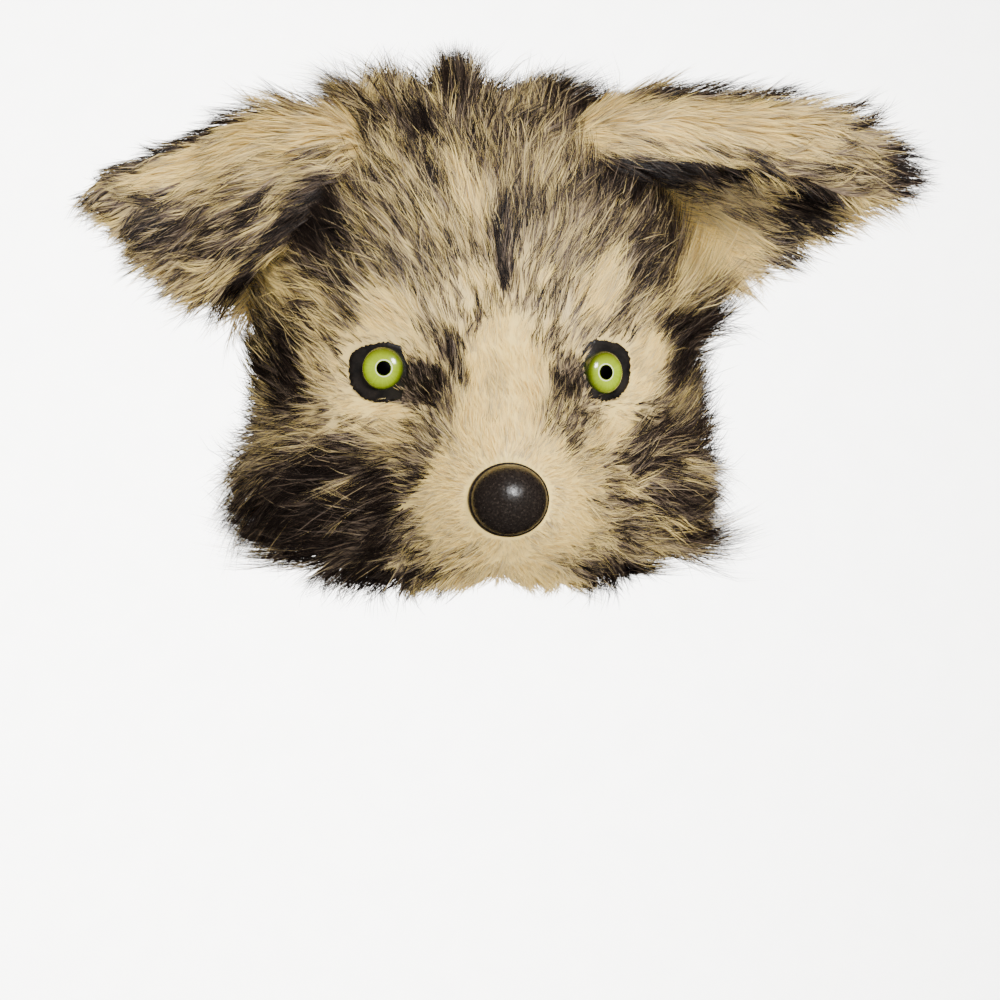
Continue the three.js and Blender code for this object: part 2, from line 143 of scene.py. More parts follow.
# Markings of the face in the same chart, and painted shadow where rows say so. tilt: degrees anticlockwise;
# dark: share of strands with dark tips
FACE_DARK = 0.62
FACE_MARKS = table(
    "place across up wide high tilt dark",
    ("forehead",               0,  120,  75,  45,   0,  0.7),
    ("crown",                 -8,  187,  66,  17,   0, 0.76),
    ("crown left edge",      -62,  193,  18,   5, -10, 0.82),
    ("crown spot",           -40,  181,   7,  10,  10,    1),
    ("crown tuft",           -21,  200,   7,  13,  10,  0.9),
    ("crown right",           38,  189,  15,  12,   0, 0.92),
    ("crown middle",           5,  171,  10,   5,   0,  0.8),
    ("pale forehead",        -15,  153,   9,  22,  22, 0.42),
    ("upper slash",          -36,  161,  16, 3.5, -38, 0.88),
    ("forehead line",         -2,  153,   2,  15,   5, 0.75),
    ("forehead streak",      1.5,  123,   5,  24,   3,    1),
    ("right of the streak",   13,  134,   8,  22,   0, 0.78),
    ("right forehead",        36,  130,  20,  24, -10, 0.78),
    # Painted shadow below the right ear's flap, over dark fur
    ("right ear root",        66,  153,  23,  10,  -5, 0.97),
    ("right ear back",       103,  119,  13,  12,   0, 0.03),
    ("right temple",          75,  124,  12,  22,   0, 0.86),
    ("right brow",            52,  104,   9,  17, -15, 0.12),
    ("right brow slash",      33,   80,   3,  10, -35, 0.85),
    # Painted shadow in the hollow beside the left ear, over dark fur
    ("left ear root",        -88,  134,  13,  27,   0,    1),
    ("left ear back",       -109,  105,   6,   8,   0, 0.05),
    ("left temple line",     -63,  144,  17,   4, -15, 0.85),
    ("left temple",          -77,  104,   9,  16,   0, 0.75),
    ("left brow",            -58,   94,  14,  13, -20, 0.26),
    ("left side",           -106,   60,  10,  27,   4, 0.98),
    ("outside left eye",     -79,   62,  12,  17,   0, 0.52),
    ("above left eye",       -54,   80,  16,   6,   0,  0.2),
    ("left cheekbone",       -84,   34,  19,   7,   5, 0.66),
    ("below left eye",       -62,   43,  18,   5,  -8, 0.06),
    ("left cheek hollow",    -60,   32,  14,   6,  10, 0.36),
    ("left cheek",           -86,   -6,  43,  29,   0, 0.98),
    ("grey wisps",           -85,    4,  10, 3.5,  25, 0.68),
    ("lower grey wisps",     -85,  -15,   7,   3,  20, 0.82),
    ("bridge",                 0,   50,  20,  38,   0, 0.03),
    ("brow slash",           -25,   72,   4,  19,  33, 0.92),
    ("second slash",         -12,   88,   3,  10,  15,  0.6),
    ("muzzle",                 3,   -2,  46,  35,   0, 0.02),
    ("lip",                    8,  -42,  34,   8,   0, 0.04),
    # Painted shadow along the upper edge of the left patch
    ("left lid",             -56,   76,  15, 2.5,   0,  0.6),
    ("inside left eye",      -37,   57,  12,  10,   0, 0.97),
    ("left eye corner",      -42,   48,  10,   4,   0, 0.97),
    ("left tear",            -38,   28,   7,  18, -18, 0.75),
    ("left tear end",        -42,   11, 3.5,  12, -30, 0.96),
    ("left lip line",        -20,  -26,  15, 2.5,  20,  0.4),
    ("left jaw",             -47,  -37,  16,   5,   0, 0.92),
    ("left jaw end",         -80,  -46,  34,  12,   0, 0.95),
    ("inside right eye",      34,   58,   9,  11,   0,  0.9),
    ("right tear",            37,   37,   5,  15,  -8, 0.82),
    ("right tear end",        47,   23,   8,  13,   0,  0.5),
    ("outside right eye",     70,   63,  11,  18, -25, 0.07),
    ("below right eye",       57,   36,   7,  11, -10, 0.05),
    ("right cheek",           84,   30,  17,  14,   0, 0.89),
    ("right cheek line",      76,   48,  12,   3,  28, 0.78),
    ("right side",            98,   86,  20,  13, -10, 0.96),
    ("right side below",      90,   67,  13,   6,  30, 0.92),
    ("right edge",           101,   44,   6,  26,   0, 0.88),
    ("right cheek spot",      67,   18,  10,   4, -15, 0.95),
    ("beside the spot",       85,   15,  10, 3.5,   0, 0.82),
    ("right cheek edge",      89,    0,  13,  10,   0, 0.93),
    ("right muzzle line",     60, -1.5,  14,   3,  -3, 0.82),
    ("right jaw spot",        64,  -16,   7,   7,   0, 0.92),
    ("right tuft",           102,  -17,  12,   5, -12, 0.96),
    ("right jaw",             60,  -40,  18,  14,   0, 0.93),
)

# Ears in the same chart: the point that each ear's pile fans out from, its usual share of dark tips, how the
# pile lies and the markings, with painted shadow in the folds where rows say so
EAR_LIE = {"length": 22, "lift": 17, "gather": 0.35}
EARS = [
    {"side": "left", "fan_across": 4, "fan_up": 190, "dark": 0.42,
     "lie": table(
         "place across up wide high tilt length lift gather",
         ("crest",       -150, 168, 42,  9, 28, 20, 26,  0.3),
         ("upper crest",  -94, 188, 26, 10, 14, 28, 40, 0.35),
         ("tip",         -184, 140, 24, 30,  0, 16, 18,  0.6),
         ("lower end",   -126,  92, 14, 14,  0, 28, 26,  0.6),
     ),
     "marks": table(
         "place across up wide high tilt dark",
         ("upper half",     -127, 168, 52,  10,  21, 0.26),
         ("crest",          -152, 171, 44, 4.5,  28,  0.9),
         ("upper crest",     -99, 193, 24,   4,  14, 0.75),
         ("pale middle",    -164, 151, 14,   7,  20, 0.03),
         ("pale root",       -85, 174, 17,   9,  15, 0.03),
         ("lower half",     -150, 126, 40,  13, -22, 0.82),
         ("tip",            -192, 146,  9,   9,   0,  0.8),
         ("lower edge",     -168, 117, 42,   5, -42, 0.88),
         # Groove, free edge and fold: painted shadow of the flap's free edge and the hollow below it, over
         # dark fur
         ("groove",         -122, 134,  5,  18, -39,  0.9),
         ("free edge",      -112, 117,  6,  46, -39, 0.97),
         ("fold",            -90, 129, 14,  27,   0,    1),
         ("pale back wall", -109, 108,  7,   7,   0, 0.06),
     )},
    {"side": "right", "fan_across": -30, "fan_up": 194, "dark": 0.3,
     "lie": table(
         "place across up wide high tilt length lift gather",
         ("crest",       104, 187, 60,  8,   0, 24, 32,  0.3),
         ("outer crest", 170, 177, 26, 11, -25, 28, 36, 0.35),
         ("tip",         182, 166, 24, 30,   0, 24, 28,  0.7),
     ),
     "marks": table(
         "place across up wide high tilt dark",
         ("flap",             106, 175, 58,  11,  -2, 0.18),
         # Painted shadow below the root of the flap, over dark fur
         ("root",              66, 152, 18,   8,   0,    1),
         ("crest",            118, 194, 56, 4.5,   0, 0.88),
         ("outer crest",      181, 181, 26,   6, -38,  0.9),
         ("flap streak",      120, 161, 46,   3,  -8,  0.6),
         # Painted shadow below the flap, over dark fur
         ("below the flap",    98, 154, 54,   4,  -5,    1),
         ("tip",              182, 158, 18,  18,   0,  0.5),
         ("lower flap",       160, 151, 28,   7,  -8,  0.8),
         ("tip edge",         196, 160,  7,  22,   0, 0.92),
         ("back wall",        100, 147, 24,   6,  -5, 0.97),
         ("back wall middle", 118, 136, 22,   9, -10,  0.6),
         ("under the tip",    157, 142, 16,   8,  10, 0.92),
         ("pale back wall",   104, 118, 15,  13, -20, 0.02),
         ("back wall edge",   137, 113, 13,   7,  35, 0.72),
         ("back tip",         150, 133, 16,  12,  10,    1),
     )},
]

# Tufts and the wisps that they are made of: how far they turn from the flow and curl along it, how far their
# darkness varies, how each wisp lies down and leans to the middle of its tuft, and how long guard hair and
# down are
TUFT_TURN = math.radians(22)
TUFT_CURL = math.radians(34)
TUFT_MOOD = 0.1
WISP_TURN = math.radians(6)
WISP_CURL = math.radians(14)
WISP_MOOD = 0.12
LIFT_SPREAD = (0.75, 1.25)
LENGTH_SPREAD = (0.75, 1.15)
LAYING = 0.7
LEAN_SPREAD = (0.6, 1.3)
LEAN_BEND = 1.3
GUARD_LENGTH = 1.1
DOWN_LENGTH = 0.8

# Strands of a wisp: the levels along them, the one that shows, and how they run together, stray and taper
STRAND_LEVELS = np.array([0.0, 0.38, 0.72, 1.0])
SHOWN_LEVEL = 2
STRAND_TAPER = np.array([1.0, 0.92, 0.62])
STRAND_ROLL = math.radians(55)
STRAND_STRAY = 0.04
STRAY_BEND = 2
CUT_SPREAD = (0.7, 1.05)
WIDTH_SPREAD = (0.7, 1.3)
WISP_GATHER = 0.85
GATHER_SPREAD = (0.6, 1.25)
GATHER_BEND = 1.2
LOOSE_SHARE = 0.07
LOOSE_STRAY = 2.5
MOST_TRIANGLES = 200_000

# Light on a strand: how round it looks, and how far it is lit as the skin below it is
ROUNDNESS = 0.45
SKIN_LIGHT = 0.6

# Shade of the pile, from 0 for black to 1 for cream. Pairs: in unmarked fur and in the darkest markings.
# vary: how far it differs between tufts, wisps and strands
GUARD_TIPPED = (0.6, 0.95)
DOWN_TIPPED = (0.02, 0.16)
TIP_START = (0.8, 0.06)
TIP_START_LIMITS = (0.02, 0.75)
TIP_START_VARY = {"wisp": 0.12, "strand": 0.1}
TIP_FADE = 0.3
TIP_SHADE = (0.26, 0.06)
TIP_VARY = {"wisp": 0.08, "strand": 0.03}
PALE_SHADE = 0.93
PALE_DULLED = 0.1
PALE_DARKENED = 0.42
PALE_BEND = 4
PALE_VARY = {"tuft": 0.05, "wisp": 0.06, "strand": 0.05}
# Painted shadow at the roots: the pile's shade is scaled by the first at the root, up to full at the second
# share of its length
ROOT_SHADOW_FACTOR = 0.78
ROOT_SHADOW_REACH = 0.6
SHADE_LIMITS = (0.02, 0.98)

# Warmth of the pile, from 0 for its cool colours to 1 for its warm ones
WARMTH = {"middle": 0.5, "vary": 0.22, "least": 0.03, "most": 0.97}
UNDERFUR_WARMTH = 0.6

# Underfur: its depth as a share of the pile's length. In the bake map, each strand has a little width
UNDERFUR_SHARE = 0.055
UNDERFUR_SPREAD = 0.01
BAKE_SPREAD = 0.004

FACE_SEED = 11
EAR_SEED = 23
PATCH_SEED = 5


def linear(hex_colour):
    """Linear red, green and blue of an sRGB hex colour."""
    channels = [int(hex_colour[i:i + 2], 16) / 255 for i in (1, 3, 5)]
    return tuple(c / 12.92 if c <= 0.04045 else ((c + 0.055) / 1.055) ** 2.4 for c in channels)


def colour_property(name, description, hex_colour):
    return FloatVectorProperty(
        name=name, description=description, subtype="COLOR", size=3, min=0, max=1, default=linear(hex_colour))


def length_property(name, description, millimetres):
    return FloatProperty(
        name=name, description=description, subtype="DISTANCE", unit="LENGTH", min=0, precision=4,
        default=millimetres * MM)


def count_property(name, description, count):
    return IntProperty(name=name, description=description, default=count, min=2)


def power_property(name, description, watts):
    return FloatProperty(name=name, description=description, unit="POWER", min=0, default=watts)


class MaskFurSettings(bpy.types.PropertyGroup):
    """Pile of the fur fabric."""

    face_strands: count_property("Face strands", "Strands on the whole face", 116_000)
    ear_strands: count_property("Ear strands", "Strands on each ear", 29_000)
    wisp_strands: count_property("Strands in a wisp", "How many run to one tip", 4)
    tuft_wisps: count_property("Wisps in a tuft", "How many lie the same way", 36)
    strand_width: length_property("Strand width", "Width near the root, coarser than a fibre's", 0.27)
    cream: colour_property("Cream", "Pile at the root", "#ffe187")
    # Also the colour that the painted shadow in the ears' folds and hollows runs to
    dark: colour_property("Dark tips", "Dyed tips of the guard hair", "#0e0a08")


class MaskEyeSettings(bpy.types.PropertyGroup):
    """Moulded eyes and the patches that they sit on."""

    width: length_property("Eye width", "Width of the dome", 20)
    depth: length_property("Eye depth", "Height of the dome above its patch", 7)
    rim: length_property("Eye rim", "Height of the straight rim below the dome", 2.6)
    pupil: length_property("Pupil width", "Width of the black pupil", 7)
    iris: colour_property("Iris", "Colour of the iris", "#a0ba0c")
    # Painted shadow: the colour that the iris darkens to towards its upper rim
    iris_top_shadow: colour_property("Iris rim", "Colour of the iris at its upper rim", "#6c7412")
    patch_outwards: length_property("Patch half width", "From the eye to the patch's outer edge", 16.5)
    patch_up: length_property("Patch half height", "From the patch's middle to its upper edge", 13)
    patch_corner: length_property("Patch corner", "How far the inner corner is drawn out", 12)


class MaskNoseSettings(bpy.types.PropertyGroup):
    """Moulded nose."""

    width: length_property("Nose width", "Width of the dome", 36.4)
    height: length_property("Nose height", "Height of the dome, top to bottom", 33.6)
    depth: length_property("Nose depth", "How far it stands out of the muzzle", 19)
    rim: length_property("Nose rim", "Height of the straight rim below the dome", 3)
    flange: FloatProperty(
        name="Nose edge", description="Share of the half width that the moulded edge takes",
        default=0.05, min=0, max=0.2)
    colour: colour_property("Nose colour", "Colour of the vinyl", "#1b1613")


class MaskClothSettings(bpy.types.PropertyGroup):
    """Backing cloth and elastic."""

    thickness: length_property("Cloth thickness", "Thickness of the knitted backing", 2)
    pucker_size: length_property("Pucker size", "Distance between puckers of the backing", 18)
    pucker_depth: length_property("Pucker depth", "How far the backing is drawn in between puckers", 4)
    cloth: colour_property("Cloth", "Colour of the knitted backing", "#5a4f45")
    hem_thickness: length_property("Hem thickness", "Thickness of the turned-in edge", 1.2)
    thread_width: length_property("Thread width", "Width of the sewing thread", 0.7)
    thread: colour_property("Thread", "Colour of the sewing thread", "#8b7d68")
    strap_width: length_property("Elastic width", "Width of the elastic", 20)
    strap_thickness: length_property("Elastic thickness", "Thickness of the elastic", 1.4)
    elastic: colour_property("Elastic", "Colour of the elastic", "#161616")


class MaskStageSettings(bpy.types.PropertyGroup):
    """Floor, light and camera."""

    floor_drop: length_property("Floor drop", "How far the floor lies below the crown", 1400)
    floor_radius: length_property("Floor radius", "Radius of the floor", 9000)
    wall_distance: length_property("Backdrop distance", "How far the backdrop stands behind the mask", 6000)
    key_power: power_property("Key light", "Power of the main softbox", 78)
    fill_power: power_property("Fill lights", "Power of each side softbox", 16)
    top_power: power_property("Top light", "Power of the softbox above", 25)
    low_power: power_property("Low light", "Power of the softbox below", 28)
    back_power: power_property("Back light", "Power of the softbox behind", 25)
    wall_power: power_property("Wall light", "Power of the light on the backdrop", 700)
    sky: FloatProperty(
        name="Room light", description="Strength of the even light of the room", default=0.5, min=0)


# Arrays and charts

def unit(vectors):
    return vectors / np.maximum(np.linalg.norm(vectors, axis=-1, keepdims=True), 1e-12)


def smooth_step(values):
    """0 below 0, 1 above 1, and a soft way from one to the other."""
    share = np.clip(values, 0, 1)
    return share * share * (3 - 2 * share)


def along_surface(vectors, normals):
    """Unit vectors along a surface, with what points off it taken out."""
    return unit(vectors - np.sum(vectors * normals, axis=-1, keepdims=True) * normals)


def chart_places(points):
    """Where points fall in the front view: millimetres across and up from the nose."""
    offset = points - np.array(VIEW_AIM)
    nearer = VIEW_DISTANCE / (VIEW_DISTANCE - offset @ np.array(VIEW_TOWARDS))
    return offset @ np.array(VIEW_RIGHT) * nearer / MM, offset[:, 2] * nearer / MM


def patch_weight(row, across, up, border):
    """1 inside a charted patch, 0 outside it; border is the share of its half size that it fades over."""
    tilt = math.radians(row.get("tilt", 0))
    right, rise = across - row["across"], up - row["up"]
    along = (right * math.cos(tilt) + rise * math.sin(tilt)) / row["wide"]
    over = (rise * math.cos(tilt) - right * math.sin(tilt)) / row["high"]
    return smooth_step((1 + border / 2 - np.hypot(along, over)) / border)


# Share of its half size that a patch of the lie, and a marking, fades over
LIE_BORDER = 0.9
MARK_BORDER = 0.55


def charted(rows, column, base, points, border=LIE_BORDER):
    """Value of a chart's column at points: each row is laid over those before it."""
    across, up = chart_places(points)
    value = np.full(len(points), float(base))
    for row in rows:
        value += (row[column] - value) * patch_weight(row, across, up, border)
    return value


def mesh_arrays(mesh):
    """Points, normals and triangles of a mesh."""
    points = np.empty(len(mesh.vertices) * 3)
    mesh.vertices.foreach_get("co", points)
    normals = np.empty(len(mesh.vertices) * 3)
    mesh.vertex_normals.foreach_get("vector", normals)
    mesh.calc_loop_triangles()
    triangles = np.empty(len(mesh.loop_triangles) * 3, dtype=np.int32)
    mesh.loop_triangles.foreach_get("vertices", triangles)
    return points.reshape(-1, 3), normals.reshape(-1, 3), triangles.reshape(-1, 3)


# Objects and materials

def add_object(name, mesh, material, smooth=True):
    """A new object with one material, linked to the scene."""
    piece = bpy.data.objects.new(name, mesh)
    bpy.context.scene.collection.objects.link(piece)
    mesh.materials.append(material)
    if smooth:
        mesh.shade_smooth()
    return piece


def add_piece(piece, slot, *nodes):
    """Attaches an object to the mask's body and hides the CAD nodes that it is drawn in place of."""
    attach(piece, BODY)
    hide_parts(*nodes)
    return piece


def with_modifiers(mesh, *modifiers):
    """A copy of a mesh with modifiers applied; each is its type and its settings."""
    holder = bpy.data.objects.new("holder", mesh)
    bpy.context.scene.collection.objects.link(holder)
    for kind, settings in modifiers:
        modifier = holder.modifiers.new(kind.title(), kind)
        for name, value in settings.items():
            setattr(modifier, name, value)
    depsgraph = bpy.context.evaluated_depsgraph_get()
    result = bpy.data.meshes.new_from_object(holder.evaluated_get(depsgraph), depsgraph=depsgraph)
    bpy.data.objects.remove(holder)
    return result


def add_node(tree, kind, inputs=None, stops=None, **settings):
    """Adds a shader node with its settings, and sets or links its inputs; stops are a colour ramp's."""
    node = tree.nodes.new(kind)
    for name, value in settings.items():
        setattr(node, name, value)
    for socket, value in (inputs or {}).items():
        if isinstance(value, bpy.types.NodeSocket):
            tree.links.new(value, node.inputs[socket])
        else:
            node.inputs[socket].default_value = value
    if stops:
        elements = node.color_ramp.elements
        for place, _ in stops[1:-1]:
            elements.new(place)
        for element, (place, colour) in zip(sorted(elements, key=lambda e: e.position), stops):
            element.position = place
            element.color = (*colour, 1)
    return node


# Sockets of the colour mix node, by their places
MIX_FACTOR, MIX_A, MIX_B, MIX_RESULT = 0, 6, 7, 2


def bands(millimetres):
    """Scale of a wave texture whose bands lie this far apart."""
    return 2 * math.pi / (20 * millimetres * MM)


def grains(millimetres):
    """Scale of a noise or cell texture whose grains are this wide."""
    return 1 / (millimetres * MM)


def add_material(name):
    """An empty material and its node tree; the tree gets its surface from finish_material."""
    material = bpy.data.materials.new(name)
    material.use_nodes = True
    material.node_tree.nodes.clear()
    return material, material.node_tree


def finish_material(tree, inputs):
    """Adds the surface shader with its inputs and the output."""
    shader = add_node(tree, "ShaderNodeBsdfPrincipled", inputs)
    add_node(tree, "ShaderNodeOutputMaterial", {"Surface": shader.outputs["BSDF"]})


def fur_material(settings):
    # Modacrylic pile: silky fibres, cream with dark dyed tips, that show a soft light across each tuft
    # The shade attribute also holds painted shadow: darker roots, and dark tips in the ears' folds and
    # hollows
    material, tree = add_material("modacrylic_fur")
    cream, dark = settings.cream, settings.dark
    shade = add_node(tree, "ShaderNodeAttribute", attribute_name="shade")
    warmth = add_node(tree, "ShaderNodeAttribute", attribute_name="warmth")
    cool_stops = [(0, tuple(dark)), (0.22, linear("#261e1a")), (0.5, linear("#7c6e62")),
                  (0.75, linear("#c9b485")), (1, tuple(cream))]
    warm_stops = [(0, tuple(dark)), (0.22, linear("#2b1f17")), (0.5, linear("#806b54")),
                  (0.75, linear("#d1b473")), (1, linear("#ffdc7a"))]
    cool = add_node(tree, "ShaderNodeValToRGB", {"Fac": shade.outputs["Fac"]}, stops=cool_stops)
    warm = add_node(tree, "ShaderNodeValToRGB", {"Fac": shade.outputs["Fac"]}, stops=warm_stops)
    colour = add_node(tree, "ShaderNodeMix", {
        MIX_FACTOR: warmth.outputs["Fac"], MIX_A: cool.outputs["Color"], MIX_B: warm.outputs["Color"],
    }, data_type="RGBA")
    finish_material(tree, {
        "Base Color": colour.outputs[MIX_RESULT], "Roughness": 0.45, "IOR": 1.5, "Specular IOR Level": 0.3})
    return material


def cloth_material(settings):
    # Polyester knit, the back of fur fabric: matt, with fine columns of stitches
    material, tree = add_material("knitted_backing")
    place = add_node(tree, "ShaderNodeTexCoord")
    # Stitch columns 1.6 mm apart and rows 1.1 mm apart, a little coarser than real so that they show
    columns = add_node(tree, "ShaderNodeTexWave", {
        "Vector": place.outputs["Object"], "Scale": bands(1.6), "Distortion": 0.6, "Detail": 1.0,
    }, bands_direction="X")
    rows = add_node(tree, "ShaderNodeTexWave", {
        "Vector": place.outputs["Object"], "Scale": bands(1.1), "Distortion": 0.8, "Detail": 1.0,
    }, bands_direction="Z")
    stitches = add_node(tree, "ShaderNodeMath", {
        0: columns.outputs["Fac"], 1: rows.outputs["Fac"]}, operation="MULTIPLY")
    wear = add_node(tree, "ShaderNodeTexNoise", {"Vector": place.outputs["Object"], "Scale": grains(30)})
    tone = add_node(tree, "ShaderNodeMath", {
        0: stitches.outputs["Value"], 1: 0.5, 2: wear.outputs["Fac"]}, operation="MULTIPLY_ADD")
    colour = add_node(tree, "ShaderNodeValToRGB", {"Fac": tone.outputs["Value"]}, stops=[
        (0.2, tuple(0.45 * c for c in settings.cloth)), (1.0, tuple(settings.cloth))])
    bump = add_node(tree, "ShaderNodeBump", {
        "Height": stitches.outputs["Value"], "Strength": 0.9, "Distance": 0.5 * MM})
    finish_material(tree, {
        "Base Color": colour.outputs["Color"], "Normal": bump.outputs["Normal"], "Roughness": 0.95,
        "Specular IOR Level": 0.15, "Sheen Weight": 0.08, "Sheen Roughness": 0.5})
    return material


def thread_material(settings):
    # Spun polyester sewing thread: dull, with the fine twist of its plies
    material, tree = add_material("sewing_thread")
    place = add_node(tree, "ShaderNodeTexCoord")
    # Plies 0.6 mm apart, coarser than real so that they show
    plies = add_node(tree, "ShaderNodeTexWave", {
        "Vector": place.outputs["Object"], "Scale": bands(0.6), "Distortion": 1.0,
    }, bands_direction="DIAGONAL")
    colour = add_node(tree, "ShaderNodeValToRGB", {"Fac": plies.outputs["Fac"]}, stops=[
        (0.2, tuple(0.5 * c for c in settings.thread)), (0.9, tuple(settings.thread))])
    finish_material(tree, {"Base Color": colour.outputs["Color"], "Roughness": 0.7, "Sheen Weight": 0.1})
    return material


def patch_material():
    # Black leatherette, pressed with a fine grain: dull, with small lights on the grain
    material, tree = add_material("black_leatherette")
    place = add_node(tree, "ShaderNodeTexCoord")
    grain = add_node(tree, "ShaderNodeTexVoronoi", {
        "Vector": place.outputs["Object"], "Scale": grains(1.0)}, feature="SMOOTH_F1")
    tone = add_node(tree, "ShaderNodeTexNoise", {"Vector": place.outputs["Object"], "Scale": grains(6)})
    colour = add_node(tree, "ShaderNodeValToRGB", {"Fac": tone.outputs["Fac"]}, stops=[
        (0.3, linear("#0f0d0b")), (0.75, linear("#241e1a"))])
    bump = add_node(tree, "ShaderNodeBump", {
        "Height": grain.outputs["Distance"], "Strength": 0.35, "Distance": 0.25 * MM})
    finish_material(tree, {
        "Base Color": colour.outputs["Color"], "Normal": bump.outputs["Normal"], "Roughness": 0.48})
    return material


def rings_around(tree, place, width):
    """Sockets of the way out from an eye's axis, and of how far out that is as a share of its half width."""
    flat = add_node(tree, "ShaderNodeVectorMath", {0: place, 1: (1, 1, 0)}, operation="MULTIPLY")
    reach = add_node(tree, "ShaderNodeVectorMath", {0: flat.outputs["Vector"]}, operation="LENGTH")
    share = add_node(tree, "ShaderNodeMapRange", {
        "Value": reach.outputs["Value"], "From Min": 0.0, "From Max": width / 2})
    return flat.outputs["Vector"], share.outputs["Result"]


def eye_material(settings):
    # Moulded acrylic, painted behind a clear front: lime iris, black pupil in a pale ring, sharp reflections
    material, tree = add_material("moulded_eye_acrylic")
    place = add_node(tree, "ShaderNodeTexCoord")
    gaze = add_node(tree, "ShaderNodeAttribute", attribute_name="gaze")
    from_middle, dome_share = rings_around(tree, place.outputs["Object"], settings.width)
    from_pupil, pupil_share = rings_around(tree, gaze.outputs["Vector"], settings.width)
    outward = add_node(tree, "ShaderNodeVectorMath", {0: from_pupil}, operation="NORMALIZE")
    # Iris streaks about 1 mm wide at the rim, seen as soft rays
    rays = add_node(tree, "ShaderNodeTexNoise", {
        "Vector": outward.outputs["Vector"], "Scale": 9.0, "Detail": 2.0})
    # Painted shadow: the iris darkens towards its upper rim
    height = add_node(tree, "ShaderNodeSeparateXYZ", {"Vector": from_middle})
    upper = add_node(tree, "ShaderNodeMapRange", {
        "Value": height.outputs["Y"], "From Min": 0.1 * settings.width, "From Max": 0.5 * settings.width})
    lit = add_node(tree, "ShaderNodeValToRGB", {"Fac": rays.outputs["Fac"]}, stops=[
        (0.3, tuple(0.8 * c for c in settings.iris)), (0.7, tuple(settings.iris))])
    iris = add_node(tree, "ShaderNodeMix", {
        MIX_FACTOR: upper.outputs["Result"], MIX_A: lit.outputs["Color"], MIX_B: (*settings.iris_top_shadow, 1),
    }, data_type="RGBA")
    pupil = settings.pupil / settings.width
    hole = add_node(tree, "ShaderNodeValToRGB", {"Fac": pupil_share}, stops=[
        (pupil - 0.02, (0, 0, 0)), (pupil + 0.01, (1, 1, 1))])
    # Painted shade: the dome darkens towards its edge, where it sits down in the patch and fur
    edge = add_node(tree, "ShaderNodeValToRGB", {"Fac": dome_share}, stops=[
        (0.6, (1, 1, 1)), (0.82, (0.66, 0.66, 0.66)), (0.93, (0.3, 0.3, 0.3)), (1.0, (0.08, 0.08, 0.08))])
    rings = add_node(tree, "ShaderNodeMix", {
        MIX_FACTOR: 1.0, MIX_A: hole.outputs["Color"], MIX_B: edge.outputs["Color"],
    }, data_type="RGBA", blend_type="MULTIPLY")
    pale = add_node(tree, "ShaderNodeValToRGB", {"Fac": pupil_share}, stops=[
        (pupil + 0.01, (0, 0, 0)), (pupil + 0.02, (1, 1, 1)), (pupil + 0.035, (1, 1, 1)),
        (pupil + 0.075, (0, 0, 0))])
    ringed = add_node(tree, "ShaderNodeMix", {
        MIX_FACTOR: pale.outputs["Color"], MIX_A: iris.outputs[MIX_RESULT], MIX_B: (*linear("#e9f0c4"), 1),
    }, data_type="RGBA")
    colour = add_node(tree, "ShaderNodeMix", {
        MIX_FACTOR: 1.0, MIX_A: ringed.outputs[MIX_RESULT], MIX_B: rings.outputs[MIX_RESULT],
    }, data_type="RGBA", blend_type="MULTIPLY")
    finish_material(tree, {
        "Base Color": colour.outputs[MIX_RESULT], "Roughness": 0.22, "IOR": 1.49,
        "Coat Weight": 1.0, "Coat Roughness": 0.03})
    return material


def nose_material(settings):
    # Black vinyl, cast with a pebbled skin: soft broad light with small broken glints
    material, tree = add_material("cast_black_vinyl")
    place = add_node(tree, "ShaderNodeTexCoord")
    pebbles = add_node(tree, "ShaderNodeTexVoronoi", {
        "Vector": place.outputs["Object"], "Scale": grains(1.5)}, feature="SMOOTH_F1")
    specks = add_node(tree, "ShaderNodeTexNoise", {
        "Vector": place.outputs["Object"], "Scale": grains(0.9), "Detail": 2.0})
    colour = add_node(tree, "ShaderNodeValToRGB", {"Fac": specks.outputs["Fac"]}, stops=[
        (0.55, tuple(settings.colour)), (0.75, linear("#3a3129"))])
    gloss = add_node(tree, "ShaderNodeMapRange", {
        "Value": specks.outputs["Fac"], "From Min": 0.3, "From Max": 0.7, "To Min": 0.24, "To Max": 0.4})
    bump = add_node(tree, "ShaderNodeBump", {
        "Height": pebbles.outputs["Distance"], "Strength": 0.3, "Distance": 0.3 * MM})
    finish_material(tree, {
        "Base Color": colour.outputs["Color"], "Roughness": gloss.outputs["Result"],
        "Normal": bump.outputs["Normal"], "IOR": 1.53, "Specular IOR Level": 0.4})
    return material


def elastic_material(settings):
    # Woven elastic: raised ribs along the band, crossed by fine weft
    material, tree = add_material("woven_elastic")
    band = add_node(tree, "ShaderNodeUVMap", uv_map="band")
    # Ribs 1.6 mm apart and weft 0.9 mm apart; the band's map is in metres
    ribs = add_node(tree, "ShaderNodeTexWave", {
        "Vector": band.outputs["UV"], "Scale": bands(1.6)}, bands_direction="Y")
    weft = add_node(tree, "ShaderNodeTexWave", {
        "Vector": band.outputs["UV"], "Scale": bands(0.9)}, bands_direction="X")
    weave = add_node(tree, "ShaderNodeMath", {
        0: weft.outputs["Fac"], 1: 0.4, 2: ribs.outputs["Fac"]}, operation="MULTIPLY_ADD")
    colour = add_node(tree, "ShaderNodeValToRGB", {"Fac": weave.outputs["Value"]}, stops=[
        (0.1, tuple(0.4 * c for c in settings.elastic)), (1.0, tuple(settings.elastic))])
    bump = add_node(tree, "ShaderNodeBump", {
        "Height": weave.outputs["Value"], "Strength": 0.6, "Distance": 0.4 * MM})
    finish_material(tree, {
        "Base Color": colour.outputs["Color"], "Normal": bump.outputs["Normal"], "Roughness": 0.85,
        "Sheen Weight": 0.2})
    return material


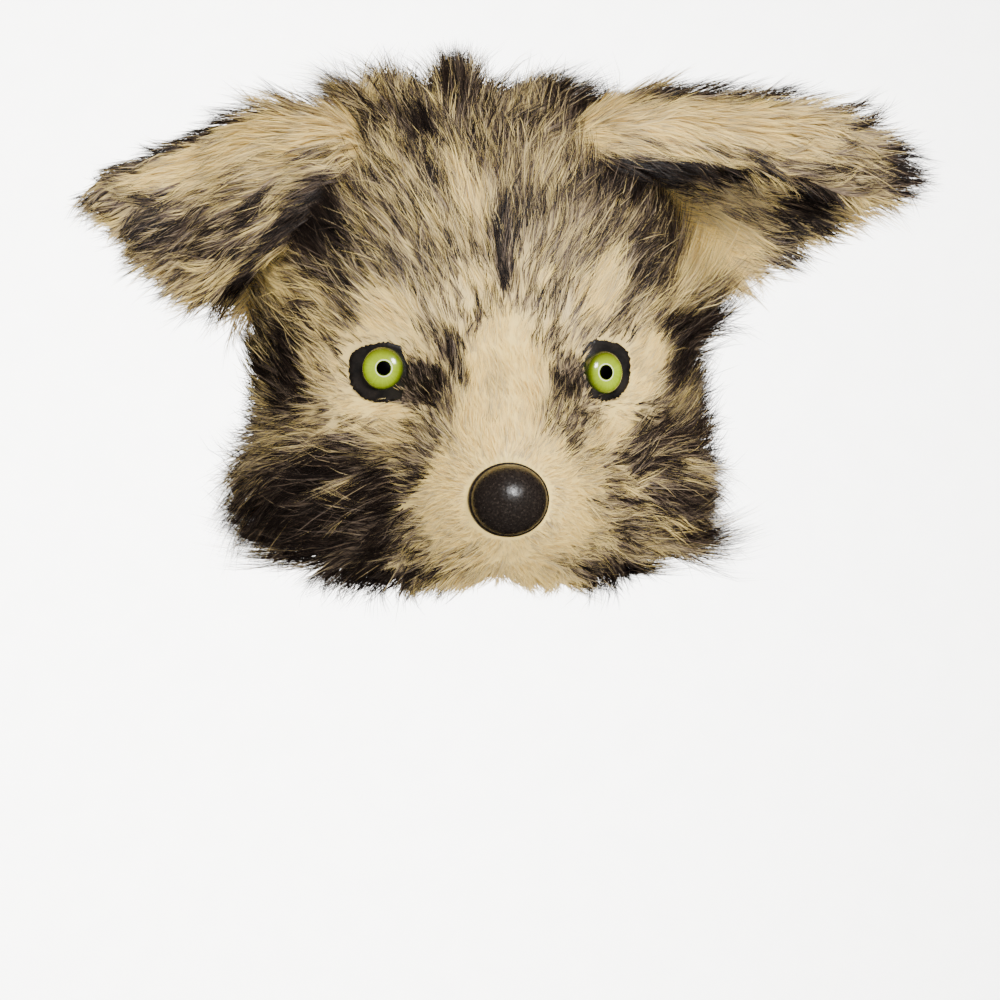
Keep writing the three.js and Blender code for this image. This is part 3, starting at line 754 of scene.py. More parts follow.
# Nets of points and faces

def mesh_of(net, name):
    """A mesh made from a net, which is then freed."""
    mesh = bpy.data.meshes.new(name)
    net.to_mesh(mesh)
    net.free()
    return mesh


def join_rows(net, rows, closed=True):
    """Quads between neighbouring rows of points; a closed row's last point is joined to its first."""
    for lower, upper in zip(rows, rows[1:]):
        for i in range(len(lower) if closed else len(lower) - 1):
            j = (i + 1) % len(lower)
            net.faces.new((lower[i], lower[j], upper[j], upper[i]))


# Skins that the fur grows on

# Distance that counts as none, the sharpest bend within one side of the CAD wall, and a point in the hollow
WELD = 1e-6
FOLD_ANGLE = math.radians(60)
HOLLOW_MIDDLE = Vector((0, 20, -110)) * MM


def face_skin():
    """Outer face of the backing cloth: the smooth patch of the CAD wall that looks away from the hollow."""
    net = bmesh.new()
    net.from_mesh(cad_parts["face_backing"].data)
    bmesh.ops.remove_doubles(net, verts=net.verts, dist=WELD)
    unseen = set(net.faces)
    patches = []
    while unseen:
        patch = [unseen.pop()]
        for face in patch:
            for edge in face.edges:
                if edge.is_manifold and edge.calc_face_angle() < FOLD_ANGLE:
                    beyond = [other for other in edge.link_faces if other in unseen]
                    unseen.difference_update(beyond)
                    patch.extend(beyond)
        patches.append(patch)

    def outwardness(patch):
        ways = [(face.calc_center_median() - HOLLOW_MIDDLE).normalized() for face in patch]
        return sum(face.calc_area() * face.normal.dot(way) for face, way in zip(patch, ways))

    outer = set(max(patches, key=outwardness))
    bmesh.ops.delete(net, geom=[face for face in net.faces if face not in outer], context="FACES")
    return with_modifiers(mesh_of(net, "face_skin"), ("SUBSURF", {"levels": 2, "render_levels": 2}))


# Ears: how they are drawn in and smoothed, where they come down to the face, how deep they are sunk in it,
# how far from it their pile begins, and how full they are
EAR_INSET = 2 * MM
EAR_VOXEL = 2.2 * MM
EAR_SMOOTHING = {"factor": 0.5, "iterations": 6}
EAR_FIRST_SMOOTHING = {"factor": 0.5, "iterations": 14}
EAR_SEAT_NEAR = 18 * MM
EAR_SEAT_FAR = 34 * MM
EAR_SUNK = -0.5 * MM
EAR_SEWN = 1.5 * MM


def ear_skin(side, face_tree):
    """Cloth of a folded ear: the CAD ear, rounded, drawn in by its pile's depth and sewn to the face."""
    mesh = with_modifiers(
        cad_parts["ear_" + side].data.copy(),
        ("REMESH", {"mode": "VOXEL", "voxel_size": EAR_VOXEL}),
        ("SMOOTH", EAR_FIRST_SMOOTHING),
        ("DISPLACE", {"strength": -EAR_INSET, "mid_level": 0.0}),
        ("SMOOTH", EAR_SMOOTHING),
    )
    for vertex in mesh.vertices:
        spot, _, _, away = face_tree.find_nearest(vertex.co)
        if away < EAR_SEAT_FAR:
            kept = EAR_SEAT_FAR * (away - EAR_SEAT_NEAR) / (EAR_SEAT_FAR - EAR_SEAT_NEAR)
            vertex.co = spot + (vertex.co - spot).normalized() * max(kept, EAR_SUNK)
    return with_modifiers(mesh, ("SMOOTH", EAR_SMOOTHING))


def tree_of(mesh):
    """Tree of a mesh's triangles, for finding what lies near or ahead."""
    points, _, triangles = mesh_arrays(mesh)
    return BVHTree.FromPolygons(points.tolist(), triangles.tolist())


def outside_of(tree, strands):
    """Which strands have no point behind a skin."""
    behind = []
    for point in strands.reshape(-1, 3):
        spot, normal, _, _ = tree.find_nearest(point, EAR_SEAT_NEAR)
        behind.append(spot is not None and (Vector(point) - spot).dot(normal) < -WELD)
    return ~np.array(behind).reshape(len(strands), -1).any(axis=1)


# Well in front of the mask
FRONT_Y = -1.0


def seat_on(tree, x, z):
    """Where a place seen from the front lies on the face's skin."""
    spot, _, _, _ = tree.ray_cast(Vector((x * MM, FRONT_Y, z * MM)), Vector((0, 1, 0)))
    if spot is None:
        raise RuntimeError(f"nothing of the face lies at {x}, {z}")
    return spot


def eye_frame(tree, eye):
    """Frame of an eye on the skin: X to the right, Y up and Z the way that it looks."""
    spot = seat_on(tree, eye["x"], eye["z"])
    return Matrix.Translation(spot) @ Matrix.Rotation(math.radians(eye["yaw"]), 4, "Z") @ Matrix.Rotation(
        math.radians(90), 4, "X")


# Corners of an eye patch: low on the nose's side and high on the other. OPENING_DEPTH: how far before and
# behind the skin an eye's opening reaches
PATCH_CORNER_ANGLE = math.radians(200)
PATCH_CORNER_SHARPNESS = 8
PATCH_OUTER_ANGLE = math.radians(36)
PATCH_OUTER_SHARPNESS = 16
PATCH_OUTER_REACH = 2 * MM
OPENING_DEPTH = 40 * MM


def patch_reach(turn, outward, settings, margin, corner_share=1.0):
    """Outline of an eye patch: an ellipse drawn out to its corners, the inner one by a share of its reach."""
    round_turn = turn * outward
    corner = np.maximum(0, np.cos(round_turn - PATCH_CORNER_ANGLE)) ** PATCH_CORNER_SHARPNESS
    outer = np.maximum(0, np.cos(round_turn - PATCH_OUTER_ANGLE)) ** PATCH_OUTER_SHARPNESS
    stretch = margin + corner_share * settings.patch_corner * corner + PATCH_OUTER_REACH * outer
    return (outward * (settings.patch_outwards + stretch) * np.cos(round_turn),
            (settings.patch_up + stretch) * np.sin(round_turn))


def inside_eyes(points, tree, margin):
    """Which points lie in the openings that the fur leaves for the eyes."""
    settings = bpy.context.scene.mask_eyes
    inside = np.zeros(len(points), dtype=bool)
    for eye in EYES:
        local = np.array(eye_frame(tree, eye).inverted())
        seen = points @ local[:3, :3].T + local[:3, 3]
        seen[:, 1] += eye["patch_drop"] * MM
        turn = np.arctan2(seen[:, 1], seen[:, 0])
        outward = math.copysign(1, eye["x"])
        turn = np.where(outward > 0, turn, math.pi - turn) * outward
        across, up = patch_reach(turn, outward, settings, margin, corner_share=0.0)
        across *= np.where(across * outward < 0, eye["bare_inner"], 1)
        near = np.abs(seen[:, 2]) < OPENING_DEPTH
        inside |= near & (np.hypot(seen[:, 0], seen[:, 1]) < np.hypot(across, up))
    return inside


def below_nose(points):
    """Which points lie below the nose's rim."""
    nose = bpy.context.scene.mask_nose
    across = (points[:, 0] - NOSE_PLACE["x"] * MM) / (nose.width / 2)
    up = (points[:, 2] - NOSE_PLACE["z"] * MM) / (nose.height / 2)
    return np.hypot(across, up) < 1


# Growing fur

def scatter(rng, skin, count, crowd):
    """Random roots on a skin, as points and normals; crowd weighs its points."""
    points, normals, triangles = skin
    a, b, c = (points[triangles[:, i]] for i in range(3))
    weight = np.linalg.norm(np.cross(b - a, c - a), axis=1) * crowd[triangles].mean(axis=1)
    chosen = triangles[rng.choice(len(triangles), count, p=weight / weight.sum())]
    share = np.sort(rng.random((count, 2)), axis=1)
    share = np.stack([share[:, 0], share[:, 1] - share[:, 0], 1 - share[:, 1]], axis=1)
    roots, upright = (np.einsum("ij,ijk->ik", share, values[chosen]) for values in (points, normals))
    return roots, unit(upright)


def wisp_lines(rng, roots, normals, flow, lie, tuft, tuft_roots):
    """Lines of wisps: each leaves the skin at its lift, lies down along the flow and leans to its tuft."""
    count, tufts = len(roots), len(tuft_roots)
    sideways = np.cross(normals, flow)
    turn = lie["gather"] * rng.normal(0, TUFT_TURN, tufts)[tuft] + rng.normal(0, WISP_TURN, count)
    curl = lie["gather"] * rng.normal(0, TUFT_CURL, tufts)[tuft] + rng.normal(0, WISP_CURL, count)
    lift = np.radians(lie["lift"]) * rng.uniform(*LIFT_SPREAD, tufts)[tuft] * rng.uniform(*LIFT_SPREAD, count)
    length = lie["length"] * MM * rng.uniform(*LENGTH_SPREAD, count)
    lines = np.empty((count, len(STRAND_LEVELS), 3))
    lines[:, 0] = roots
    for level in range(1, len(STRAND_LEVELS)):
        before, here = STRAND_LEVELS[level - 1:level + 1]
        middle = (before + here) / 2
        heading = (turn + curl * middle)[:, None]
        rise = (lift * (1 - LAYING * middle))[:, None]
        ahead = np.cos(heading) * flow + np.sin(heading) * sideways
        step = np.cos(rise) * ahead + np.sin(rise) * normals
        lines[:, level] = lines[:, level - 1] + (length * (here - before))[:, None] * step
    lean = (lie["gather"] * rng.uniform(*LEAN_SPREAD, count))[:, None] * STRAND_LEVELS ** LEAN_BEND
    return lines - (roots - tuft_roots[tuft])[:, None] * lean[:, :, None]


def nearest_of(starts, points):
    """Index of the start that lies nearest to each point."""
    tree = KDTree(len(starts))
    for i, start in enumerate(starts):
        tree.insert(start, i)
    tree.balance()
    return np.array([tree.find(point)[1] for point in points])


def grow_strands(rng, roots, normals, flow, lie, dark_at, fur):
    """Strands in wisps and tufts: their lines, and their shade along them by how dark it is where they show.

    A tuft's or wisp's mood counts most in places where half the strands are dark.
    """
    count = len(roots)
    starts = rng.choice(count, max(1, count // fur.wisp_strands), replace=False)
    tuft_starts = rng.choice(starts, max(1, len(starts) // fur.tuft_wisps), replace=False)
    tuft = nearest_of(roots[tuft_starts], roots[starts])
    wisp = nearest_of(roots[starts], roots)
    wisp_lie = {column: values[starts] for column, values in lie.items()}
    lines = wisp_lines(rng, roots[starts], normals[starts], flow[starts], wisp_lie, tuft, roots[tuft_starts])
    dark = dark_at(lines[:, SHOWN_LEVEL])
    mood = rng.normal(0, TUFT_MOOD, len(tuft_starts))[tuft] + rng.normal(0, WISP_MOOD, len(starts))
    chance = np.clip(dark + mood * 4 * dark * (1 - dark), 0, 1)
    guard = rng.random(len(starts)) < chance
    lines = lines[:, :1] + (lines - lines[:, :1]) * np.where(guard, GUARD_LENGTH, DOWN_LENGTH)[:, None, None]
    loose = rng.random(count) < LOOSE_SHARE
    pull = np.where(loose, 0.0, WISP_GATHER * rng.uniform(*GATHER_SPREAD, count))
    gather = pull[:, None] * STRAND_LEVELS ** GATHER_BEND
    cut = rng.uniform(*CUT_SPREAD, count)
    own = roots - lines[wisp, 0]
    grown = (lines[wisp] - lines[wisp, :1]) * cut[:, None, None]
    reach = lie["length"] * MM * np.where(loose, LOOSE_STRAY, 1) * STRAND_STRAY
    stray = rng.normal(0, 1, (count, 3)) * reach[:, None]
    strands = (roots[:, None] + grown - own[:, None] * gather[:, :, None]
               + stray[:, None] * (STRAND_LEVELS ** STRAY_BEND)[:, None])
    return trimmed(strands), shade_along(rng, chance, guard, wisp, tuft)


# How far pile may stand proud of the CAD model's box: a share of its sides and a margin
TRIM_SHARE = 0.03
TRIM_MARGIN = 9 * MM


def trimmed(strands):
    """Strands cut back to how far they may stand proud."""
    low, high = (np.array(corner) for corner in CAD_BOX)
    proud = TRIM_SHARE * (high - low) + TRIM_MARGIN
    grown = strands[:, -1] - strands[:, 0]
    room = np.where(grown > 0, high + proud - strands[:, 0], strands[:, 0] - low + proud)
    cut = np.clip((room / np.maximum(np.abs(grown), WELD)).min(axis=1), 0, 1)
    return strands[:, :1] + (strands - strands[:, :1]) * cut[:, None, None]


def down_shade(dark):
    """Shade of the pile below its tips: cream, and greyer in the darkest markings."""
    return PALE_SHADE - PALE_DULLED * dark - PALE_DARKENED * dark ** PALE_BEND


def by_dark(pair, dark):
    """A value between those for unmarked fur and for the darkest markings."""
    return pair[0] + (pair[1] - pair[0]) * dark


def shade_along(rng, chance, guard, wisp, tuft):
    """Shade of each strand at its levels: cream, dark past a point in most strands of the guard hair, painted
    shadow at the root.
    """
    wisps, count = len(chance), len(wisp)
    uneven = rng.normal(0, PALE_VARY["tuft"], tuft.max() + 1)[tuft] + rng.normal(0, PALE_VARY["wisp"], wisps)
    tipped_share = np.where(guard, by_dark(GUARD_TIPPED, chance), by_dark(DOWN_TIPPED, chance))
    tipped = rng.random(count) < tipped_share[wisp]
    start = by_dark(TIP_START, chance) + rng.normal(0, TIP_START_VARY["wisp"], wisps)
    start = np.clip(start, *TIP_START_LIMITS)[wisp] + rng.normal(0, TIP_START_VARY["strand"], count)
    turned = np.clip((STRAND_LEVELS[None] - start[:, None]) / TIP_FADE, 0, 1) * tipped[:, None]
    pale = (down_shade(chance) + uneven)[wisp] + rng.normal(0, PALE_VARY["strand"], count)
    # Painted shadow: each strand is darker towards its root
    pale = pale[:, None] * (ROOT_SHADOW_FACTOR + (1 - ROOT_SHADOW_FACTOR) * np.minimum(1, STRAND_LEVELS / ROOT_SHADOW_REACH))
    tip = (by_dark(TIP_SHADE, chance) + rng.normal(0, TIP_VARY["wisp"], wisps))[wisp]
    tip += rng.normal(0, TIP_VARY["strand"], count)
    return np.clip(pale + (tip[:, None] - pale) * turned, *SHADE_LIMITS)


def strand_mesh(rng, name, strands, normals, shade, width):
    """Tapered ribbons along strands, with the shade and warmth of each in attributes and in the bake map."""
    count, levels = shade.shape
    ahead = unit(np.gradient(strands, axis=1))
    roll = rng.uniform(-STRAND_ROLL, STRAND_ROLL, count)[:, None, None]
    outward = along_surface(np.repeat(normals[:, None], levels, axis=1), ahead)
    facing = np.cos(roll) * outward + np.sin(roll) * np.cross(ahead, outward)
    side = np.cross(ahead, facing)
    body = levels - 1
    half = (width / 2 * rng.uniform(*WIDTH_SPREAD, count))[:, None, None] * STRAND_TAPER[None, :, None]
    spread = side[:, :body] * half
    points = np.empty((count, 2 * body + 1, 3))
    points[:, 0:2 * body:2] = strands[:, :body] - spread
    points[:, 1:2 * body:2] = strands[:, :body] + spread
    points[:, -1] = strands[:, -1]
    soft = unit(normals[:, None] * SKIN_LIGHT + facing * (1 - SKIN_LIGHT))
    shading = np.empty_like(points)
    shading[:, 0:2 * body:2] = soft[:, :body] - ROUNDNESS * side[:, :body]
    shading[:, 1:2 * body:2] = soft[:, :body] + ROUNDNESS * side[:, :body]
    shading[:, -1] = soft[:, -1]

    quads = [[2 * i, 2 * i + 1, 2 * i + 3, 2 * i + 2] for i in range(body - 1)]
    corners = np.array(sum(quads, []) + [2 * body - 2, 2 * body - 1, 2 * body])
    sizes = np.array([4] * (body - 1) + [3])
    per_strand = 2 * body + 1
    loops = (np.arange(count)[:, None] * per_strand + corners).ravel()
    totals = np.tile(sizes, count)
    mesh = bpy.data.meshes.new(name)
    mesh.vertices.add(count * per_strand)
    mesh.vertices.foreach_set("co", points.ravel())
    mesh.loops.add(len(loops))
    mesh.loops.foreach_set("vertex_index", loops)
    mesh.polygons.add(len(totals))
    mesh.polygons.foreach_set("loop_start", np.concatenate([[0], np.cumsum(totals)[:-1]]))
    mesh.update(calc_edges=True)
    mesh.shade_smooth()
    mesh.normals_split_custom_set_from_vertices(unit(shading).reshape(-1, 3))

    along = np.repeat(np.arange(body), 2).tolist() + [levels - 1]
    warmth = np.clip(rng.normal(WARMTH["middle"], WARMTH["vary"], count), WARMTH["least"], WARMTH["most"])
    spread = BAKE_SPREAD * np.tile([-1, 1] * body + [0], count)
    paint(mesh, shade[:, along].ravel(), np.repeat(warmth, per_strand), spread)
    return mesh


def paint(mesh, shade, warmth, spread):
    """Stores shade and warmth on a mesh's points, and maps the bake by them."""
    for name, values in (("shade", shade), ("warmth", warmth)):
        mesh.attributes.new(name, "FLOAT", "POINT").data.foreach_set("value", values.astype(np.float32))
    loops = np.empty(len(mesh.loops), dtype=np.int32)
    mesh.loops.foreach_get("vertex_index", loops)
    bake = np.stack([shade, np.clip(warmth + spread, 0, 1)], axis=1)[loops]
    mesh.uv_layers.new(name=BAKE_UV).uv.foreach_set("vector", bake.ravel().astype(np.float32))


def paint_underfur(rng, mesh, dark):
    """Paints a skin as the pale pile below the tips."""
    spread = rng.uniform(-UNDERFUR_SPREAD, UNDERFUR_SPREAD, len(dark))
    paint(mesh, down_shade(dark), np.full(len(dark), UNDERFUR_WARMTH), spread)


def fur_piece(name, mesh, material, node):
    """Adds pile as an object attached to the mask's body, drawn in place of a node that it hides."""
    if len(mesh.loops) - 2 * len(mesh.polygons) >= MOST_TRIANGLES:
        raise RuntimeError(f"{name} has too many strands")
    return add_piece(add_object(name, mesh, material, smooth=False), "fur", node)


# Flow of the face's pile: the share that leads away from the whorls; the rest leads away from a point in the
# muzzle
FLOW_SEEN = 0.65
FLOW_START = Vector((NOSE_PLACE["x"], -150, NOSE_PLACE["z"])) * MM


def face_flow(points, normals, droop):
    """Which way the face's pile is brushed: from its whorls, backwards, and down where the chart says so."""
    across, up = chart_places(points)
    right, rise = np.zeros(len(points)), np.zeros(len(points))
    for whorl in FACE_WHORLS:
        takes = smooth_step((up - whorl["above"]) / whorl["fade"])
        right += (across - whorl["across"] - right) * takes
        rise += (up - whorl["up"] - rise) * takes
    seen = np.outer(right, VIEW_RIGHT) + np.outer(rise, (0, 0, 1))
    flow = FLOW_SEEN * unit(seen) + (1 - FLOW_SEEN) * unit(points - np.array(FLOW_START))
    flow[:, 2] -= droop
    return along_surface(flow, normals)


# Pieces that the face's pile is parted into, in the chart: the first that takes a root has it
FACE_PIECES = [
    {"name": "fur_muzzle", "within": {"across": 4, "up": 4, "wide": 58, "high": 44}},
    {"name": "fur_crown", "above": 118},
    {"name": "fur_left", "left_of": 0},
    {"name": "fur_right"},
]


def face_piece_of(points):
    """Index of the row of FACE_PIECES that each root belongs to: the first that takes it."""
    across, up = chart_places(points)
    piece = np.full(len(points), -1)
    for i, row in enumerate(FACE_PIECES):
        takes = np.ones(len(points), dtype=bool)
        if "within" in row:
            takes = patch_weight(row["within"], across, up, LIE_BORDER) > 0.5
        if "above" in row:
            takes = up > row["above"]
        if "left_of" in row:
            takes = across < row["left_of"]
        piece[(piece < 0) & takes] = i
    return piece


# Pieces and stage

class MASK_OT_face_fur(bpy.types.Operator):
    """Grow the pile of the face: underfur, and strands in wisps and tufts"""

    bl_idname = "mask.face_fur"
    bl_label = "Face fur"

    # How far past the patches' outline the pile is left out, and how unevenly
    OPENING_MARGIN = 0.2 * MM
    OPENING_RAGGED = 0.7 * MM

    def execute(self, context):
        fur = context.scene.mask_fur
        rng = np.random.default_rng(FACE_SEED)
        skin_mesh = face_skin()
        skin = mesh_arrays(skin_mesh)
        tree = tree_of(skin_mesh)
        material = fur_material(fur)
        self.add_underfur(skin, tree, fur, material, rng)
        crowd = charted(FACE_LIE, "crowd", FACE_LIE_BASE["crowd"], skin[0])
        roots, normals = scatter(rng, skin, fur.face_strands, crowd)
        ragged = rng.normal(self.OPENING_MARGIN, self.OPENING_RAGGED, len(roots))
        clear = ~(inside_eyes(roots, tree, ragged) | below_nose(roots))
        pile = self.add_strands(roots[clear], normals[clear], fur, material, rng)
        return {"FINISHED"}

    def add_underfur(self, skin, tree, fur, material, rng):
        points, normals, triangles = skin
        middles = points[triangles].mean(axis=1)
        kept = triangles[~inside_eyes(middles, tree, 0.0)]
        mesh = bpy.data.meshes.new("underfur_face")
        depth = UNDERFUR_SHARE * MM * charted(FACE_LIE, "length", FACE_LIE_BASE["length"], points)
        mesh.from_pydata((points + normals * depth[:, None]).tolist(), [], kept.tolist())
        paint_underfur(rng, mesh, charted(FACE_MARKS, "dark", FACE_DARK, points, MARK_BORDER))
        fur_piece("underfur_face", mesh, material, "face_fur")

    def add_strands(self, roots, normals, fur, material, rng):
        lie = {column: charted(FACE_LIE, column, base, roots) for column, base in FACE_LIE_BASE.items()}
        flow = face_flow(roots, normals, lie["droop"])

        def dark_at(shown):
            return charted(FACE_MARKS, "dark", FACE_DARK, shown, MARK_BORDER)

        strands, shade = grow_strands(rng, roots, normals, flow, lie, dark_at, fur)
        piece = face_piece_of(roots)
        made = []
        for i, row in enumerate(FACE_PIECES):
            here = piece == i
            mesh = strand_mesh(rng, row["name"], strands[here], normals[here], shade[here], fur.strand_width)
            made.append(fur_piece(row["name"], mesh, material, "face_fur"))
        return made


class MASK_OT_ears(bpy.types.Operator):
    """Make the folded ears and grow their pile"""

    bl_idname = "mask.ears"
    bl_label = "Ears"

    def execute(self, context):
        fur = context.scene.mask_fur
        rng = np.random.default_rng(EAR_SEED)
        material = bpy.data.materials.get("modacrylic_fur") or fur_material(fur)
        face_tree = tree_of(face_skin())
        for ear in EARS:
            self.add_ear(ear, face_tree, fur, material, rng)
        return {"FINISHED"}

    def add_ear(self, ear, face_tree, fur, material, rng):
        side = ear["side"]
        node = "ear_" + side
        skin_mesh = ear_skin(side, face_tree)
        skin = mesh_arrays(skin_mesh)

        def dark_at(shown):
            return charted(ear["marks"], "dark", ear["dark"], shown, MARK_BORDER)

        paint_underfur(rng, skin_mesh, dark_at(skin[0]))
        skin_mesh.materials.clear()
        skin_mesh.shade_smooth()
        fur_piece("underfur_ear_" + side, skin_mesh, material, node)

        roots, normals = scatter(rng, skin, fur.ear_strands, np.ones(len(skin[0])))
        free = np.array([face_tree.find_nearest(root)[3] for root in roots]) > EAR_SEWN
        roots, normals = roots[free], normals[free]
        across, up = chart_places(roots)
        fan = np.stack([across - ear["fan_across"], np.zeros(len(roots)), up - ear["fan_up"]], axis=1)
        flow = along_surface(unit(fan), normals)
        lie = {column: charted(ear["lie"], column, base, roots) for column, base in EAR_LIE.items()}
        strands, shade = grow_strands(rng, roots, normals, flow, lie, dark_at, fur)
        out = outside_of(face_tree, strands)
        mesh = strand_mesh(rng, "fur_ear_" + side, strands[out], normals[out], shade[out], fur.strand_width)
        fur_piece("fur_ear_" + side, mesh, material, node)


def rim_of(mesh):
    """Points of a skin's open edge in order, with the way from each along the skin."""
    net = bmesh.new()
    net.from_mesh(mesh)
    edge = next(e for e in net.edges if e.is_boundary)
    start, vertex = edge.verts
    points, inward = [], []
    while True:
        before = edge.other_vert(vertex).co
        following = next(e for e in vertex.link_edges if e.is_boundary and e != edge)
        along = (following.other_vert(vertex).co - before).normalized()
        across = vertex.normal.cross(along)
        middle = sum((f.calc_center_median() for f in vertex.link_faces), Vector()) / len(vertex.link_faces)
        points.append(vertex.co.copy())
        inward.append(across if across.dot(middle - vertex.co) > 0 else -across)
        if vertex == start:
            break
        edge, vertex = following, following.other_vert(vertex)
    net.free()
    return points, inward


def thread_mesh(name, stitches, width):
    """Stitches of sewing thread: each is a line of three points that arches over the cloth."""
    curve = bpy.data.curves.new(name, "CURVE")
    curve.dimensions = "3D"
    curve.bevel_depth = width / 2
    curve.bevel_resolution = 1
    curve.use_fill_caps = True
    for line in stitches:
        spline = curve.splines.new("POLY")
        spline.points.add(len(line) - 1)
        for point, place in zip(spline.points, line):
            point.co = (*place, 1)
    holder = bpy.data.objects.new(name, curve)
    mesh = bpy.data.meshes.new_from_object(holder)
    bpy.data.objects.remove(holder)
    return mesh


class MASK_OT_backing(bpy.types.Operator):
    """Make the knitted backing cloth of the face, and turn in and sew its edge"""

    bl_idname = "mask.backing"
    bl_label = "Backing cloth"

    # Along the edge no pucker is drawn in. Hem and seam: distances from the edge, the gap below the hem, how
    # many points of the edge a stitch has, and the share of that length that its thread spans
    SMOOTH_RIM = 10 * MM
    PUCKER_FADE = 15 * MM
    HEM_ROWS = (0, 3 * MM, 6 * MM, 9 * MM)
    HEM_GAP = 0.2 * MM
    SEAM_ROW = 6.5 * MM
    SEAM_STEP = 2
    STITCH_SHARE = 0.72

    def execute(self, context):
        cloth = context.scene.mask_cloth
        skin = face_skin()
        tree = tree_of(skin)
        rim = rim_of(skin)
        material = cloth_material(cloth)
        for made, name, look in (
            (self.puckered(skin, rim[0], cloth), "backing_cloth", material),
            (self.hem_mesh(rim, tree, cloth), "hem", material),
            (self.seam_mesh(rim, tree, cloth), "hem_seam", thread_material(cloth)),
        ):
            made.materials.clear()
            add_piece(add_object(name, made, look), "backing_cloth", "face_backing")
        return {"FINISHED"}

    def puckered(self, skin, rim_points, cloth):
        """The skin as cloth: drawn in between puckers, except along its edge."""
        rim = KDTree(len(rim_points))
        for i, point in enumerate(rim_points):
            rim.insert(point, i)
        rim.balance()
        points, normals, _ = mesh_arrays(skin)
        away = np.array([rim.find(point)[2] for point in points])
        drawn_in = np.array([0.5 + 0.5 * noise.noise(Vector(point) / cloth.pucker_size) for point in points])
        depth = cloth.pucker_depth * drawn_in * smooth_step((away - self.SMOOTH_RIM) / self.PUCKER_FADE)
        skin.vertices.foreach_set("co", (points - normals * depth[:, None]).ravel())
        return with_modifiers(skin, ("SOLIDIFY", {"thickness": cloth.thickness, "offset": -1.0}))

    def turned_in(self, rim, tree, width, depth):
        """Points on the inner side of the cloth at a distance from its edge, for each point of the rim."""
        row = []
        for point, inward in zip(*rim):
            spot, over, _, _ = tree.find_nearest(point + inward * width)
            row.append(spot - over * depth)
        return row

    def hem_mesh(self, rim, tree, cloth):
        depth = cloth.thickness + self.HEM_GAP
        net = bmesh.new()
        join_rows(net, [[net.verts.new(point) for point in self.turned_in(rim, tree, width, depth)]
                        for width in self.HEM_ROWS])
        bmesh.ops.recalc_face_normals(net, faces=net.faces)
        return with_modifiers(
            mesh_of(net, "hem"), ("SUBSURF", {"levels": 1, "render_levels": 1}),
            ("SOLIDIFY", {"thickness": cloth.hem_thickness, "offset": 0.0}))

    def seam_mesh(self, rim, tree, cloth):
        sunk = cloth.thickness + self.HEM_GAP + cloth.hem_thickness / 2
        low = self.turned_in(rim, tree, self.SEAM_ROW, sunk)
        high = self.turned_in(rim, tree, self.SEAM_ROW, sunk + cloth.thread_width / 2)
        stitches = []
        for i in range(0, len(low), self.SEAM_STEP):
            j = (i + self.SEAM_STEP) % len(low)
            end = low[i].lerp(low[j], self.STITCH_SHARE)
            over = high[i].lerp(high[j], self.STITCH_SHARE / 2)
            stitches.append((low[i], over, end))
        return thread_mesh("hem_seam", stitches, cloth.thread_width)


# Domes: how far their foot is sunk, their edge, with insets as shares of the flange and heights as shares of
# the rim, and the share that the dome begins at
DOME_SPOKES = 72
DOME_RINGS = 24
DOME_SINK = 0.4 * MM
DOME_EDGE = table("inset height", (0, 0), (0, 0.5), (0.2, 0.62), (0.9, 0.64))
DOME_FOOT = 0.7


def dome_mesh(name, width, height, depth, rim, place, tree, flange=0.0):
    """Dome on a straight rim, looking along Z of its place; the rim's foot follows the skin that it sits on.

    flange is the share of its half width that the moulded edge takes.
    """
    profile = [(1 - row["inset"] * flange, rim * row["height"]) for row in DOME_EDGE]
    foot = rim * DOME_FOOT
    for step in range(DOME_RINGS):
        turn = math.pi / 2 * step / DOME_RINGS
        profile.append(((1 - flange) * math.cos(turn), foot + (depth - foot) * math.sin(turn)))
    net = bmesh.new()
    turns = [2 * math.pi * i / DOME_SPOKES for i in range(DOME_SPOKES)]
    rings = []
    for reach, rise in profile:
        across, up = reach * width / 2, reach * height / 2
        rings.append([net.verts.new((across * math.cos(turn), up * math.sin(turn), rise)) for turn in turns])
    join_rows(net, rings)
    top = net.verts.new((0, 0, depth))
    for i in range(DOME_SPOKES):
        net.faces.new((rings[-1][i], rings[-1][(i + 1) % DOME_SPOKES], top))
    look = place.to_3x3() @ Vector((0, 0, 1))
    for vertex in rings[0]:
        start = place @ Vector((vertex.co.x, vertex.co.y, OPENING_DEPTH))
        spot, _, _, away = tree.ray_cast(start, -look)
        if spot is None:
            raise RuntimeError(f"{name} reaches past the face")
        vertex.co.z = OPENING_DEPTH - away - DOME_SINK
    return mesh_of(net, name)


